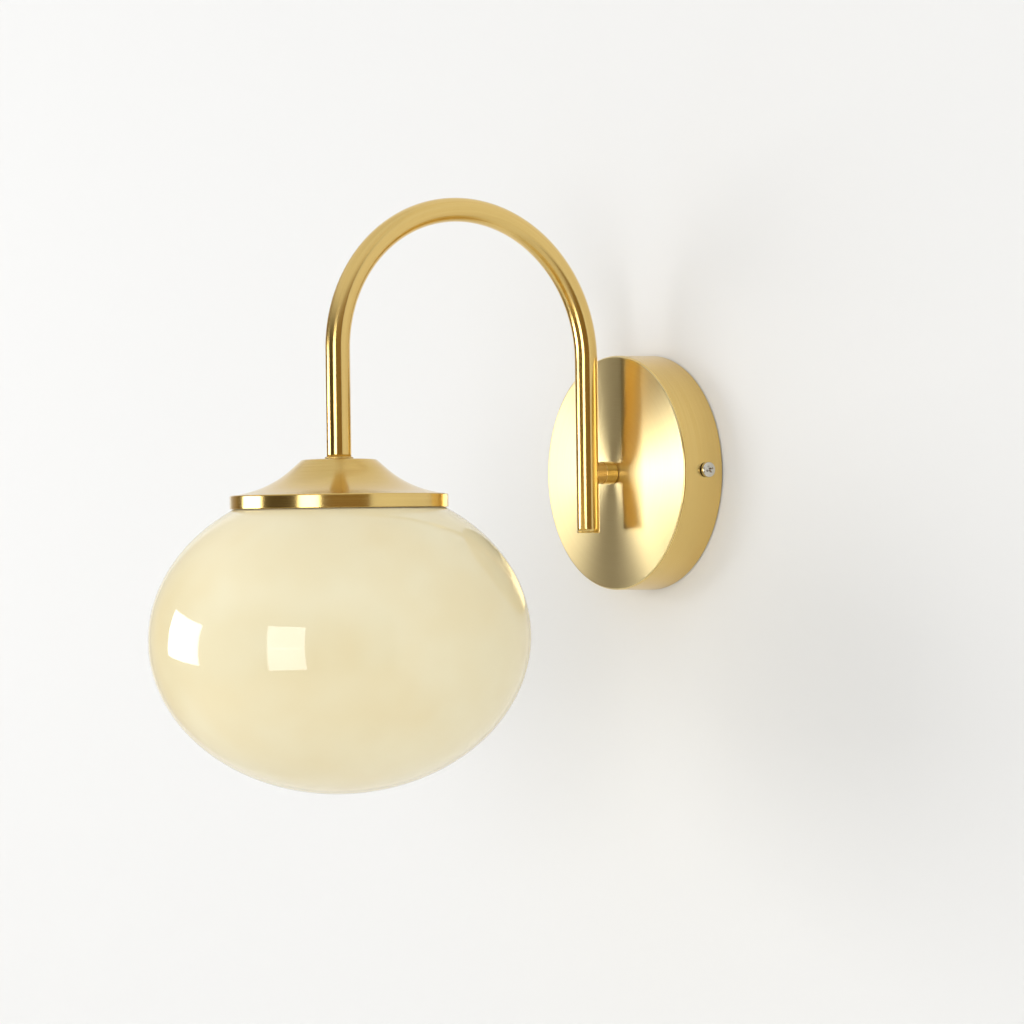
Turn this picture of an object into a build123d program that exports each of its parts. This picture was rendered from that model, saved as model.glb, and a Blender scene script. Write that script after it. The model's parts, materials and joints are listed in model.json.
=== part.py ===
from build123d import *
import math
import os

# Glass wall lamp: a bent brass arm on a round wall canopy carries a flared fitter with an opal globe.
# Frame: origin on the wall behind the canopy's centre, +X right, +Z up, the lamp stands out along -Y.
# All lengths are millimetres.

# Fits
RUNNING = 0.05           # radial play of a rod in its hole, and of a thread in its nut
CLEARANCE_HOLE = 0.3     # radial play of a screw in a hole that it only passes

# Canopy
CANOPY_OD = 120.0        # across the edge at the wall
CANOPY_DEPTH = 23.0      # wall to front face
CANOPY_DRAFT = 0.7       # the front radius is smaller by this
CANOPY_WALL = 1.0
CANOPY_EDGE_R = 1.2      # rounding of the front edge
WALL_GAP = 0.4           # shadow gap between the canopy's edge and the wall
SIDE_SCREW_INSET = 13.0  # front face to the side screws

# Wall bracket
BRACKET_T = 1.5
STRAP_WIDTH = 20.0
EAR_WIDTH = 14.0
EAR_T = 2.0
EAR_BEYOND = 6.0         # ear past its screw
EAR_PLAY = 0.3           # play of the ears' corners inside the canopy
TAB_MARGIN = 1.0         # tabs beside and past what they carry
CABLE_HOLE_R = 7.0
SLOT_SPACING = 70.0      # wall-screw slots, centre to centre
SLOT_LENGTH = 12.0
SLOT_WIDTH = 4.6

# Screws: radii of thread and head, head height
M4_R, M4_HEAD_R, M4_HEAD_H = 2.0, 3.9, 2.4
M3_R, M3_HEAD_R, M3_HEAD_H = 1.5, 2.6, 1.8
CLAMP_R, CLAMP_HEAD_R, CLAMP_HEAD_H = 1.2, 1.7, 1.2
SIDE_SCREW_LENGTH = 8.0

# Shape of a pan head, as shares of its radius and height
HEAD_RIM_RISE = 0.35
HEAD_SHOULDER_REACH, HEAD_SHOULDER_RISE = 0.72, 0.82
RECESS_SPAN, RECESS_DEPTH = 1.15, 0.6
RECESS_ARM = 0.25        # arm width of the cross, as a share of its span

# Wires
WIRE_R = 1.0
WIRE_GAP = 1.0           # between the two lamp wires
WIRE_PLAY = 0.25         # round the pair in the nipples
WIRE_BEND_R = 5.0        # bend from the wall leg into the stem
WIRE_TURN_R = 3.0        # bend from the stem up to the terminals
WIRE_IN_POLE = 5.0       # length of wire inside a terminal
LIVE_SPLAY_UP, LIVE_SPLAY_R = 7.0, 16.0
NEUTRAL_SPLAY_UP, NEUTRAL_SPLAY_R = 8.0, 8.0
EARTH_RUN, EARTH_ENTRY, EARTH_BEND_R = 14.0, 6.0, 7.0

# Terminal block
POLE_PITCH = 9.0
POLE_COUNT = 3
TERMINAL_END = 6.0       # outer pole's axis to the block's end
TERMINAL_LENGTH = 17.0
TERMINAL_HEIGHT = 13.0
TERMINAL_BASE_UP = 14.0  # lower edge above the canopy's centre
TERMINAL_EDGE_R = 0.8
INSERT_R = 2.5
INSERT_PLAY = 0.5        # wire in its insert, radial
INSERT_INSET = 1.0       # insert's ends inside the block
INSERT_RISE = 6.0        # insert axis above the bracket's face
CLAMP_SPREAD = 9.0       # between the two clamp screws of a pole

# Earth lug
LUG_RING_R = 4.2
LUG_T = 0.8
LUG_BARREL_WALL = 0.65
LUG_BARREL_LENGTH = 5.0
LUG_REACH = 6.0          # screw centre to the barrel's near end
EARTH_DOWN = 17.0        # earth screw below the canopy's centre

# Arm
TUBE_OD = 11.4
TUBE_WALL = 0.7
ARCH_R = 70.0            # centre-line radius of the half-circle bend
ARM_STANDOFF = 38.4      # wall to the axis of the wall leg
ARCH_CENTRE_Z = 56.8
WALL_LEG_END_Z = -30.2
END_CAP_T = 1.0
END_CAP_EDGE_R = 0.4
END_SPIGOT = 6.0
WIRE_HOLE_R = 3.0        # hole in the wall leg behind the stem

# Stem between canopy and wall leg
THREAD_R = 4.0           # M8 nipples
BOSS_FLANGE_R = 5.4
BOSS_FLANGE = 2.7        # visible ring beside the tube
BOSS_SPIGOT_R = 4.9
BOSS_SPIGOT = 4.5
SLEEVE_WALL = 0.8
STEM_NIPPLE_BACK = 8.0   # nipple behind the canopy's front face
WASHER_T = 0.8
WASHER_R = 7.0
WASHER_TEETH = 12
WASHER_TOOTH_WIDTH = 1.2
WASHER_TOOTH_DEPTH = 1.3
NUT_T = 3.5
NUT_FLATS = 13.0

# Fitter
FITTER_TOP_Z = 6.0
COLLAR_T = 1.2           # thin ring under the tube's end
COLLAR_LEDGE = 0.9       # ring beyond the tube, radial
COLLAR_EDGE_R = 0.35
BELL_HEIGHT = 16.2       # top face to the top of the band
BELL_WALL = 0.8
BELL_TOP_MARGIN = 0.3    # flat top's corner beyond the gallery, radial
BELL_TOP_EDGE_R = 2.2
BELL_SLOPE = 42.0        # degrees, fall of the shoulder
BELL_SLOPE_RUN = 4.6     # straight shoulder before the concave flare, radial
BAND_R = 50.3
BAND_HEIGHT = 6.2
BAND_TOP_EDGE_R = 0.7
BAND_LIP_R = 0.3
BUSH_LENGTH = 10.0
NIPPLE_IN_BUSH = 9.0

# Globe
GLOBE_WIDTH = 175.8
GLOBE_HEIGHT = 143.2     # of the whole ellipsoid, before the shoulder cuts it
RIM_GAP = 0.8            # radial gap between the band and the glass
SHOULDER_CUT = 4.6       # flat shoulder below the top of the whole ellipsoid
GLASS_WALL = 2.6
NECK_WALL = 2.4
NECK_FILLET = 2.0
NECK_LIP_R = 0.6
NECK_TOP_GAP = 0.9       # neck's top to the gallery's plate
SEAL_PLAY = 0.15         # seal to the glass and to the gallery
SEAL_LEDGE = 3.0         # seal beyond the gallery, radial
SEAL_EDGE_R = 0.4

# Screw thread between the globe's neck and the gallery
PITCH = 4.0
THREAD_TURNS = 1.25
THREAD_START = 30.0      # degrees round the neck where the rib begins
RIB_DEPTH = 1.2
RIB_BASE = 1.9
RIB_CREST = 1.0
RIB_LEAD = 0.6           # plain neck above the rib
RIB_SINK = 0.6           # how deep the rib is set into the neck
THREAD_PLAY = 0.35
GALLERY_PLATE = 1.5
GALLERY_WALL = 1.55      # behind the thread groove
GALLERY_GAP = 2.2        # gallery's lower edge above the glass shoulder
GALLERY_CHAMFER = 1.2
GALLERY_BORE_PLAY = 0.5  # radial, neck root to gallery bore

# Bulb
PIN_PITCH = 9.0
PIN_WIRE_R = 0.4
PIN_LOOP_R = 1.0
PIN_LENGTH = 8.4
PIN_IN_BASE = 3.0
BULB_GAP = 0.2           # bulb base to ceramic
BASE_WIDTH = 15.0
BASE_DEPTH = 11.0
BASE_HEIGHT = 10.0
BASE_EDGE_R = 2.0
COVER_R = 8.0
COVER_WALL = 0.8
COVER_LENGTH = 40.0
BOARD_WIDTH = 7.0
BOARD_T = 1.2
BOARD_LENGTH = 32.0

# Lampholder
PIN_PLAY = 0.7           # pin loop in its slot, each side
PIN_HEADROOM = 2.6       # slot above the pin loop
SLOT_SIDE = 2.4          # ceramic beside the slots
HOLDER_DEPTH = 12.0
HOLDER_FLOOR = 4.0       # ceramic between the slots and the wire chamber
HOLDER_EDGE_R = 1.5
HOLDER_PLAY = 0.6        # ceramic's corners in the globe's neck
CHAMBER_MARGIN = 2.0     # wire chamber beyond the contacts' axes
CHAMBER_DEPTH = 7.0
CHAMBER_HEIGHT = 5.0
STRAP_T = 1.2
STRAP_GAP = 1.4          # lock nut to the strap
STRAP_LEG_WIDTH = 10.0
STRAP_LEG_OVERLAP = 9.0  # strap legs beside the ceramic
STRAP_RISE = 6.0         # top of the strap above the ceramic
NIPPLE_PROUD = 1.2       # nipple below the strap
RIVET_R = 1.2
RIVET_HEAD_R = 2.2
RIVET_HEAD_T = 0.9
RIVET_IN = 2.0
CONTACT_T = 0.3
CONTACT_WIDTH = 2.4
CONTACT_LENGTH = 8.5
CONTACT_PLAY = 0.45      # contact in its slot, each side
TAIL_WIDTH = 1.8
TAIL_T = 0.6

# Canopy side, worked out from the sizes above
CANOPY_FRONT_R = CANOPY_OD / 2 - CANOPY_DRAFT
SIDE_SCREW_OUT = CANOPY_DEPTH - SIDE_SCREW_INSET
EAR_HEIGHT = SIDE_SCREW_OUT + EAR_BEYOND
WIRE_SPREAD = WIRE_R + WIRE_GAP / 2
NIPPLE_BORE_R = WIRE_SPREAD + WIRE_R + WIRE_PLAY
INSERT_OUT = BRACKET_T + INSERT_RISE
TERMINAL_WIDTH = (POLE_COUNT - 1) * POLE_PITCH + 2 * TERMINAL_END
TERMINAL_MID_UP = TERMINAL_BASE_UP + TERMINAL_LENGTH / 2
TAB_WIDTH = TERMINAL_WIDTH + 2 * TAB_MARGIN
TAB_TOP = TERMINAL_BASE_UP + TERMINAL_LENGTH + TAB_MARGIN
TAB_BOTTOM = EARTH_DOWN + LUG_RING_R + TAB_MARGIN
LUG_BARREL_R = WIRE_R + RUNNING + LUG_BARREL_WALL
TUBE_R = TUBE_OD / 2
TUBE_BORE_R = TUBE_R - TUBE_WALL
GLASS_LEG_OUT = ARM_STANDOFF + 2 * ARCH_R
SLEEVE_FRONT = ARM_STANDOFF - TUBE_R - BOSS_FLANGE
SLEEVE_BORE_R = BOSS_SPIGOT_R + RUNNING

# Lampholder's plan, which sets the neck, the gallery and the bell's top
SLOT_HOLE_X = 2 * (PIN_LOOP_R + PIN_WIRE_R + PIN_PLAY)
SLOT_HOLE_Y = 2 * (PIN_WIRE_R + RUNNING + CONTACT_T + CONTACT_PLAY)
SLOT_HOLE_DEPTH = PIN_LENGTH + PIN_HEADROOM
HOLDER_WIDTH = PIN_PITCH + SLOT_HOLE_X + 2 * SLOT_SIDE
HOLDER_HEIGHT = SLOT_HOLE_DEPTH + HOLDER_FLOOR + CHAMBER_HEIGHT
CHAMBER_WIDTH = PIN_PITCH + 2 * CHAMBER_MARGIN
NECK_BORE_R = math.hypot(HOLDER_WIDTH, HOLDER_DEPTH) / 2 + HOLDER_PLAY
NECK_ROOT_R = NECK_BORE_R + NECK_WALL
GROOVE_R = NECK_ROOT_R + RIB_DEPTH + THREAD_PLAY
GALLERY_R = GROOVE_R + GALLERY_WALL
BELL_TOP_R = GALLERY_R + BELL_TOP_MARGIN
FLARE_START_R = BELL_TOP_R + BELL_SLOPE_RUN

# Heights below the arm, from the fitter's top down
TUBE_END_Z = FITTER_TOP_Z + COLLAR_T
BELL_CEILING_Z = FITTER_TOP_Z - BELL_WALL
BAND_TOP_Z = FITTER_TOP_Z - BELL_HEIGHT
BAND_BOTTOM_Z = BAND_TOP_Z - BAND_HEIGHT
RIM_SHARE = (BAND_R - BELL_WALL - RIM_GAP) / (GLOBE_WIDTH / 2)
GLOBE_Z = BAND_BOTTOM_Z - GLOBE_HEIGHT / 2 * math.sqrt(1 - RIM_SHARE ** 2)
SHOULDER_Z = GLOBE_Z + GLOBE_HEIGHT / 2 - SHOULDER_CUT
GALLERY_CEILING_Z = BELL_CEILING_Z - GALLERY_PLATE
GALLERY_LOW_Z = SHOULDER_Z + GALLERY_GAP
NECK_LOW_Z = SHOULDER_Z + NECK_FILLET
NECK_TOP_Z = GALLERY_CEILING_Z - NECK_TOP_GAP
RIB_START_Z = NECK_TOP_Z - RIB_LEAD - RIB_BASE / 2 - THREAD_TURNS * PITCH
NUT_LOW_Z = GALLERY_CEILING_Z - WASHER_T - NUT_T
STRAP_TOP_Z = NUT_LOW_Z - STRAP_GAP
HOLDER_TOP_Z = STRAP_TOP_Z - STRAP_RISE
HOLDER_BOTTOM_Z = HOLDER_TOP_Z - HOLDER_HEIGHT
BULB_TOP_Z = HOLDER_BOTTOM_Z - BULB_GAP
BASE_BOTTOM_Z = BULB_TOP_Z - BASE_HEIGHT

# The wall frame has x right, y up and z out of the wall; the fitter frame stands on the glass leg's axis.
WALL = Plane((0, 0, 0), x_dir=(1, 0, 0), z_dir=(0, -1, 0)).location
FITTER = Pos(0, -GLASS_LEG_OUT, 0)
UP_FROM = (Align.CENTER, Align.CENTER, Align.MIN)


def rod(radius, low, high):
    """A cylinder on the Z axis from low to high."""
    return Pos(0, 0, low) * Cylinder(radius, high - low, align=UP_FROM)


def pipe(outer, bore, low, high):
    """A plain tube on the Z axis."""
    return rod(outer, low, high) - rod(bore, low, high)


def block(width, depth, low, high):
    """A box centred on the Z axis from low to high."""
    return Pos(0, 0, low) * Box(width, depth, high - low, align=UP_FROM)


def turned(*edges):
    """A closed outline in the XZ plane, turned about the Z axis."""
    return revolve(make_face(Curve() + list(edges)), Axis.Z)


def at(radius, height):
    """A point of a turned outline."""
    return (radius, 0, height)


def group(solids):
    """Separate solids that share a node."""
    return Compound(children=list(solids))


def cross_recess(width, depth):
    """Two crossed slots, sunk from z = 0."""
    slot = Pos(0, 0, -depth) * Box(width, width * RECESS_ARM, 2 * depth, align=UP_FROM)
    return slot + Rot(0, 0, 90) * slot


def pan_screw(thread_r, head_r, head_h, length):
    """A pan-head cross-recess screw: the head stands on z = 0 and the shank runs down from it."""
    rim = at(head_r, head_h * HEAD_RIM_RISE)
    shoulder = at(head_r * HEAD_SHOULDER_REACH, head_h * HEAD_SHOULDER_RISE)
    head = turned(
        Line(at(0, 0), at(head_r, 0)),
        Line(at(head_r, 0), rim),
        ThreePointArc(rim, shoulder, at(0, head_h)),
        Line(at(0, head_h), at(0, 0)),
    )
    recess = Pos(0, 0, head_h) * cross_recess(head_r * RECESS_SPAN, head_h * RECESS_DEPTH)
    return head - recess + rod(thread_r, -length, 0)


def hex_nut(bore, low, high):
    """A plain hexagon nut on the Z axis."""
    blank = extrude(Pos(0, 0, low) * RegularPolygon(NUT_FLATS / 2, 6, major_radius=False), high - low)
    return blank - rod(bore, low, high)


def tooth_washer(bore, low, high):
    """A lock washer with notches around its edge."""
    disc = pipe(WASHER_R, bore, low, high)
    notch = Box(WASHER_TOOTH_DEPTH * 2, WASHER_TOOTH_WIDTH, high - low, align=UP_FROM)
    for index in range(WASHER_TEETH):
        turn = Rot(0, 0, 360 / WASHER_TEETH * index)
        disc -= turn * (Pos(WASHER_R, 0, low) * notch)
    return disc


# Canopy and wall bracket

def canopy_radius(out):
    """Outer radius of the canopy at a distance from the wall."""
    return CANOPY_OD / 2 - CANOPY_DRAFT * out / CANOPY_DEPTH


def canopy():
    edge_r = canopy_radius(WALL_GAP)
    inner_depth = CANOPY_DEPTH - CANOPY_WALL
    cup = turned(
        Line(at(0, CANOPY_DEPTH), at(CANOPY_FRONT_R, CANOPY_DEPTH)),
        Line(at(CANOPY_FRONT_R, CANOPY_DEPTH), at(edge_r, WALL_GAP)),
        Line(at(edge_r, WALL_GAP), at(edge_r - CANOPY_WALL, WALL_GAP)),
        Line(at(edge_r - CANOPY_WALL, WALL_GAP), at(canopy_radius(inner_depth) - CANOPY_WALL, inner_depth)),
        Line(at(canopy_radius(inner_depth) - CANOPY_WALL, inner_depth), at(0, inner_depth)),
        Line(at(0, inner_depth), at(0, CANOPY_DEPTH)),
    )
    front_edge = cup.edges().filter_by(GeomType.CIRCLE).group_by(Axis.Z)[-1]
    cup = fillet(front_edge, CANOPY_EDGE_R)
    cup -= rod(THREAD_R + CLEARANCE_HOLE, inner_depth, CANOPY_DEPTH)
    across = Pos(-CANOPY_OD / 2, 0, SIDE_SCREW_OUT) * Rot(0, 90, 0)
    return WALL * (cup - across * rod(M4_R + CLEARANCE_HOLE, 0, CANOPY_OD))


def ear_face():
    """Distance of the ears' outer faces from the centre, just inside the canopy's wall."""
    room = canopy_radius(EAR_HEIGHT) - CANOPY_WALL - EAR_PLAY
    return math.sqrt(room ** 2 - (EAR_WIDTH / 2) ** 2)


def wall_bracket():
    face = ear_face()
    plate = block(2 * face, STRAP_WIDTH, 0, BRACKET_T)
    tab_mid = (TAB_TOP - TAB_BOTTOM) / 2
    plate += Pos(0, tab_mid, 0) * block(TAB_WIDTH, TAB_TOP + TAB_BOTTOM, 0, BRACKET_T)
    for side in (-1, 1):
        plate += Pos(side * (face - EAR_T / 2), 0, 0) * block(EAR_T, EAR_WIDTH, 0, EAR_HEIGHT)
        slot = SlotOverall(SLOT_LENGTH, SLOT_WIDTH)
        plate -= extrude(Pos(side * SLOT_SPACING / 2, 0, 0) * slot, BRACKET_T)
    plate -= rod(CABLE_HOLE_R, 0, BRACKET_T)
    plate -= Pos(-POLE_PITCH, -EARTH_DOWN, 0) * rod(M4_R + RUNNING, 0, BRACKET_T)
    plate -= Pos(POLE_PITCH / 2, TERMINAL_MID_UP, 0) * rod(M3_R + RUNNING, 0, BRACKET_T)
    across = Pos(-face, 0, SIDE_SCREW_OUT) * Rot(0, 90, 0)
    return WALL * (plate - across * rod(M4_R + RUNNING, 0, 2 * face))


def side_screws():
    seat = canopy_radius(SIDE_SCREW_OUT - M4_HEAD_R) + RUNNING
    screw = pan_screw(M4_R, M4_HEAD_R, M4_HEAD_H, SIDE_SCREW_LENGTH)
    right = Pos(seat, 0, SIDE_SCREW_OUT) * Rot(0, 90, 0) * screw
    left = Pos(-seat, 0, SIDE_SCREW_OUT) * Rot(0, -90, 0) * screw
    return group([WALL * right, WALL * left])


# Terminal block and earth, laid out on the bracket's face

def pole_places():
    middle = (POLE_COUNT - 1) / 2
    return [(index - middle) * POLE_PITCH for index in range(POLE_COUNT)]


def clamp_places():
    return [(x, TERMINAL_MID_UP + side * CLAMP_SPREAD / 2) for x in pole_places() for side in (-1, 1)]


def pole_rod(x, radius, length):
    """A rod along the wall's up direction through one pole."""
    return Pos(x, TERMINAL_MID_UP, INSERT_OUT) * Rot(90, 0, 0) * Cylinder(radius, length)


def terminal_body():
    top = BRACKET_T + TERMINAL_HEIGHT
    body = Pos(0, TERMINAL_MID_UP, 0) * block(TERMINAL_WIDTH, TERMINAL_LENGTH, BRACKET_T, top)
    body = fillet(body.edges().filter_by(Axis.Z), TERMINAL_EDGE_R)
    for x in pole_places():
        body -= pole_rod(x, INSERT_R + RUNNING, TERMINAL_LENGTH)
    for x, up in clamp_places():
        body -= Pos(x, up, 0) * rod(CLAMP_HEAD_R + RUNNING, INSERT_OUT, top)
    body -= Pos(POLE_PITCH / 2, TERMINAL_MID_UP, 0) * rod(M3_R + CLEARANCE_HOLE, BRACKET_T, top)
    return WALL * body


def terminal_inserts():
    length = TERMINAL_LENGTH - 2 * INSERT_INSET
    inserts = []
    for x in pole_places():
        insert = pole_rod(x, INSERT_R, length) - pole_rod(x, WIRE_R + INSERT_PLAY, length)
        for clamp_x, up in clamp_places():
            if clamp_x == x:
                insert -= Pos(x, up, 0) * rod(CLAMP_R + RUNNING, INSERT_OUT, INSERT_OUT + INSERT_R)
        inserts.append(WALL * insert)
    return group(inserts)


def terminal_screws():
    low = INSERT_OUT + WIRE_R + RUNNING
    head_low = INSERT_OUT + INSERT_R + RUNNING
    head = rod(CLAMP_HEAD_R, head_low, head_low + CLAMP_HEAD_H)
    slot_low = head_low + CLAMP_HEAD_H / 2
    head -= block(2 * CLAMP_HEAD_R, CLAMP_HEAD_R / 3, slot_low, head_low + CLAMP_HEAD_H)
    screw = head + rod(CLAMP_R, low, head_low)
    return group(WALL * (Pos(x, up, 0) * screw) for x, up in clamp_places())


def terminal_fixing_screw():
    screw = pan_screw(M3_R, M3_HEAD_R, M3_HEAD_H, TERMINAL_HEIGHT + BRACKET_T)
    return WALL * (Pos(POLE_PITCH / 2, TERMINAL_MID_UP, BRACKET_T + TERMINAL_HEIGHT) * screw)


def earth_screw():
    screw = pan_screw(M4_R, M4_HEAD_R, M4_HEAD_H, LUG_T + BRACKET_T)
    return WALL * (Pos(-POLE_PITCH, -EARTH_DOWN, BRACKET_T + LUG_T) * screw)


def earth_lug():
    """A crimped ring lug: ring under the screw, flat neck, barrel round the wire."""
    lug = rod(LUG_RING_R, 0, LUG_T)
    lug += Pos(0, LUG_REACH / 2, 0) * block(2 * LUG_BARREL_R, LUG_REACH, 0, LUG_T)
    barrel = Pos(0, LUG_REACH, LUG_BARREL_R) * Rot(-90, 0, 0)
    lug += barrel * rod(LUG_BARREL_R, 0, LUG_BARREL_LENGTH)
    lug -= rod(M4_R + RUNNING, 0, LUG_T)
    lug -= barrel * rod(WIRE_R + RUNNING, 0, LUG_BARREL_LENGTH)
    return WALL * (Pos(-POLE_PITCH, -EARTH_DOWN, BRACKET_T) * lug)


# Wires

def wire_along(path):
    """A round wire on a path of tangent runs and arcs, with its volume set against section times length."""
    start = path.edges().sort_by_distance(path @ 0)[0]
    section = Plane(path @ 0, z_dir=start.tangent_at(path @ 0)) * Circle(WIRE_R)
    wire = sweep(section, path=path)
    plain = math.pi * WIRE_R ** 2 * path.length
    print("wire length", round(path.length, 1), "volume share", round(wire.volume / plain, 4))
    return wire


def lamp_wire(side, pole_x, splay_up, splay_r):
    """From the lampholder up the glass leg, round the arch, out through the stem and up to its pole."""
    x = side * WIRE_SPREAD
    bottom = HOLDER_TOP_Z - CHAMBER_HEIGHT + TAIL_T
    rise = Line((x, -GLASS_LEG_OUT, bottom), (x, -GLASS_LEG_OUT, ARCH_CENTRE_Z))
    crown = (x, -ARM_STANDOFF - ARCH_R, ARCH_CENTRE_Z + ARCH_R)
    arch = ThreePointArc(rise @ 1, crown, (x, -ARM_STANDOFF, ARCH_CENTRE_Z))
    tail = FilletPolyline(
        arch @ 1,
        (x, -ARM_STANDOFF, 0),
        (x, -INSERT_OUT, 0),
        (pole_x, -INSERT_OUT, splay_up),
        (pole_x, -INSERT_OUT, TERMINAL_BASE_UP + WIRE_IN_POLE),
        radius=[WIRE_BEND_R, WIRE_TURN_R, splay_r],
    )
    return wire_along(Wire(rise.edges() + arch.edges() + tail.edges()))


def live_wire():
    return lamp_wire(-1, 0.0, LIVE_SPLAY_UP, LIVE_SPLAY_R)


def neutral_wire():
    return lamp_wire(1, POLE_PITCH, NEUTRAL_SPLAY_UP, NEUTRAL_SPLAY_R)


def earth_wire():
    x = -POLE_PITCH
    low = BRACKET_T + LUG_BARREL_R
    start = LUG_REACH - EARTH_DOWN
    path = FilletPolyline(
        (x, -low, start),
        (x, -low, start + EARTH_RUN),
        (x, -INSERT_OUT, TERMINAL_BASE_UP - EARTH_ENTRY),
        (x, -INSERT_OUT, TERMINAL_BASE_UP + WIRE_IN_POLE),
        radius=EARTH_BEND_R,
    )
    return wire_along(path)


# Stem and arm

def stem_nipple():
    low = CANOPY_DEPTH - STEM_NIPPLE_BACK
    return WALL * pipe(THREAD_R, NIPPLE_BORE_R, low, ARM_STANDOFF - TUBE_R - RUNNING)


def stem_lock_washer():
    high = CANOPY_DEPTH - CANOPY_WALL
    return WALL * tooth_washer(THREAD_R + RUNNING, high - WASHER_T, high)


def stem_lock_nut():
    high = CANOPY_DEPTH - CANOPY_WALL - WASHER_T
    return WALL * hex_nut(THREAD_R + RUNNING, high - NUT_T, high)


def stem_sleeve():
    return WALL * pipe(SLEEVE_BORE_R + SLEEVE_WALL, SLEEVE_BORE_R, CANOPY_DEPTH, SLEEVE_FRONT)


def wall_leg_rod(radius):
    """A rod on the wall leg's axis that reaches past the stem, in the wall frame."""
    return Pos(0, 0, ARM_STANDOFF) * Rot(90, 0, 0) * Cylinder(radius, 4 * TUBE_OD)


def stem_boss():
    back = SLEEVE_FRONT - BOSS_SPIGOT
    boss = rod(BOSS_FLANGE_R, SLEEVE_FRONT, ARM_STANDOFF) + rod(BOSS_SPIGOT_R, back, ARM_STANDOFF)
    boss -= rod(THREAD_R + RUNNING, back, ARM_STANDOFF)
    return WALL * (boss - wall_leg_rod(TUBE_R))


def arm_path():
    rise = Line((0, -GLASS_LEG_OUT, TUBE_END_Z), (0, -GLASS_LEG_OUT, ARCH_CENTRE_Z))
    crown = (0, -ARM_STANDOFF - ARCH_R, ARCH_CENTRE_Z + ARCH_R)
    arch = ThreePointArc(rise @ 1, crown, (0, -ARM_STANDOFF, ARCH_CENTRE_Z))
    fall = Line(arch @ 1, (0, -ARM_STANDOFF, WALL_LEG_END_Z + END_CAP_T))
    return Wire(rise.edges() + arch.edges() + fall.edges())


def arm_tube():
    path = arm_path()
    start = Plane(path @ 0, z_dir=(0, 0, 1))
    tube = sweep(start * Circle(TUBE_R), path=path) - sweep(start * Circle(TUBE_BORE_R), path=path)
    return tube - WALL * rod(WIRE_HOLE_R, ARM_STANDOFF - TUBE_OD, ARM_STANDOFF)


def arm_end_plug():
    cap = fillet(rod(TUBE_R, 0, END_CAP_T).edges().group_by(Axis.Z)[0], END_CAP_EDGE_R)
    plug = cap + rod(TUBE_BORE_R - RUNNING, END_CAP_T, END_CAP_T + END_SPIGOT)
    return Pos(0, -ARM_STANDOFF, WALL_LEG_END_Z) * plug


def arm_outlet_bush():
    return FITTER * pipe(TUBE_BORE_R - RUNNING, THREAD_R + RUNNING, TUBE_END_Z, TUBE_END_Z + BUSH_LENGTH)


# Fitter

def fitter_nipple():
    low = STRAP_TOP_Z - STRAP_T - NIPPLE_PROUD
    return FITTER * pipe(THREAD_R, NIPPLE_BORE_R, low, TUBE_END_Z + NIPPLE_IN_BUSH)


def fitter_collar_ring():
    ring = rod(TUBE_R + COLLAR_LEDGE, FITTER_TOP_Z, TUBE_END_Z)
    ring = fillet(ring.edges(), COLLAR_EDGE_R)
    return FITTER * (ring - rod(THREAD_R + CLEARANCE_HOLE, FITTER_TOP_Z, TUBE_END_Z))


class BellOutline:
    """Half section of the bell: flat top, rounded corner, straight shoulder, concave flare to the band."""

    def __init__(self):
        self.slope = math.radians(BELL_SLOPE)
        self.corner_r = BELL_TOP_R - BELL_TOP_EDGE_R * math.tan(self.slope / 2)
        self.corner_z = FITTER_TOP_Z - BELL_TOP_EDGE_R
        start_z = FITTER_TOP_Z - (FLARE_START_R - BELL_TOP_R) * math.tan(self.slope)
        run, fall = BAND_R - FLARE_START_R, start_z - BAND_TOP_Z
        self.end_slope = 2 * math.atan2(fall, run) - self.slope
        self.radius = math.hypot(run, fall) / (2 * math.sin((self.slope - self.end_slope) / 2))
        self.centre_r = FLARE_START_R + self.radius * math.sin(self.slope)
        self.centre_z = start_z + self.radius * math.cos(self.slope)

    def corner(self, inset, slope):
        """Point on the rounded top corner where the surface falls by slope."""
        reach = BELL_TOP_EDGE_R - inset
        return at(self.corner_r + reach * math.sin(slope), self.corner_z + reach * math.cos(slope))

    def flare(self, inset, slope):
        """Point on the flare where the surface falls by slope."""
        reach = self.radius + inset
        return at(self.centre_r - reach * math.sin(slope), self.centre_z - reach * math.cos(slope))

    def slope_at(self, inset, radius):
        """Fall of the flare at a distance from the axis."""
        return math.asin((self.centre_r - radius) / (self.radius + inset))

    def skin(self, inset, band_r):
        """Edges from the axis to the band, inset from the outer skin."""
        end = self.slope_at(inset, band_r)
        corner = [self.corner(inset, slope) for slope in (0, self.slope / 2, self.slope)]
        flare = [self.flare(inset, slope) for slope in (self.slope, (self.slope + end) / 2, end)]
        return [
            Line(at(0, FITTER_TOP_Z - inset), corner[0]),
            ThreePointArc(*corner),
            Line(corner[-1], flare[0]),
            ThreePointArc(*flare),
            Line(flare[-1], at(band_r, BAND_BOTTOM_Z)),
        ]


def fitter_bell():
    outline = BellOutline()
    inner_r = BAND_R - BELL_WALL
    bell = turned(
        *outline.skin(0, BAND_R),
        Line(at(BAND_R, BAND_BOTTOM_Z), at(inner_r, BAND_BOTTOM_Z)),
        *outline.skin(BELL_WALL, inner_r),
        Line(at(0, BELL_CEILING_Z), at(0, FITTER_TOP_Z)),
    )
    band_top = bell.edges().filter_by(GeomType.CIRCLE).sort_by(SortBy.RADIUS)[-2:].sort_by(Axis.Z)[-1]
    bell = fillet(band_top, BAND_TOP_EDGE_R)
    lip = bell.edges().filter_by(GeomType.CIRCLE).group_by(Axis.Z)[0].sort_by(SortBy.RADIUS)[-1]
    bell = fillet(lip, BAND_LIP_R)
    return FITTER * (bell - rod(THREAD_R + CLEARANCE_HOLE, BELL_CEILING_Z, FITTER_TOP_Z))


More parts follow.
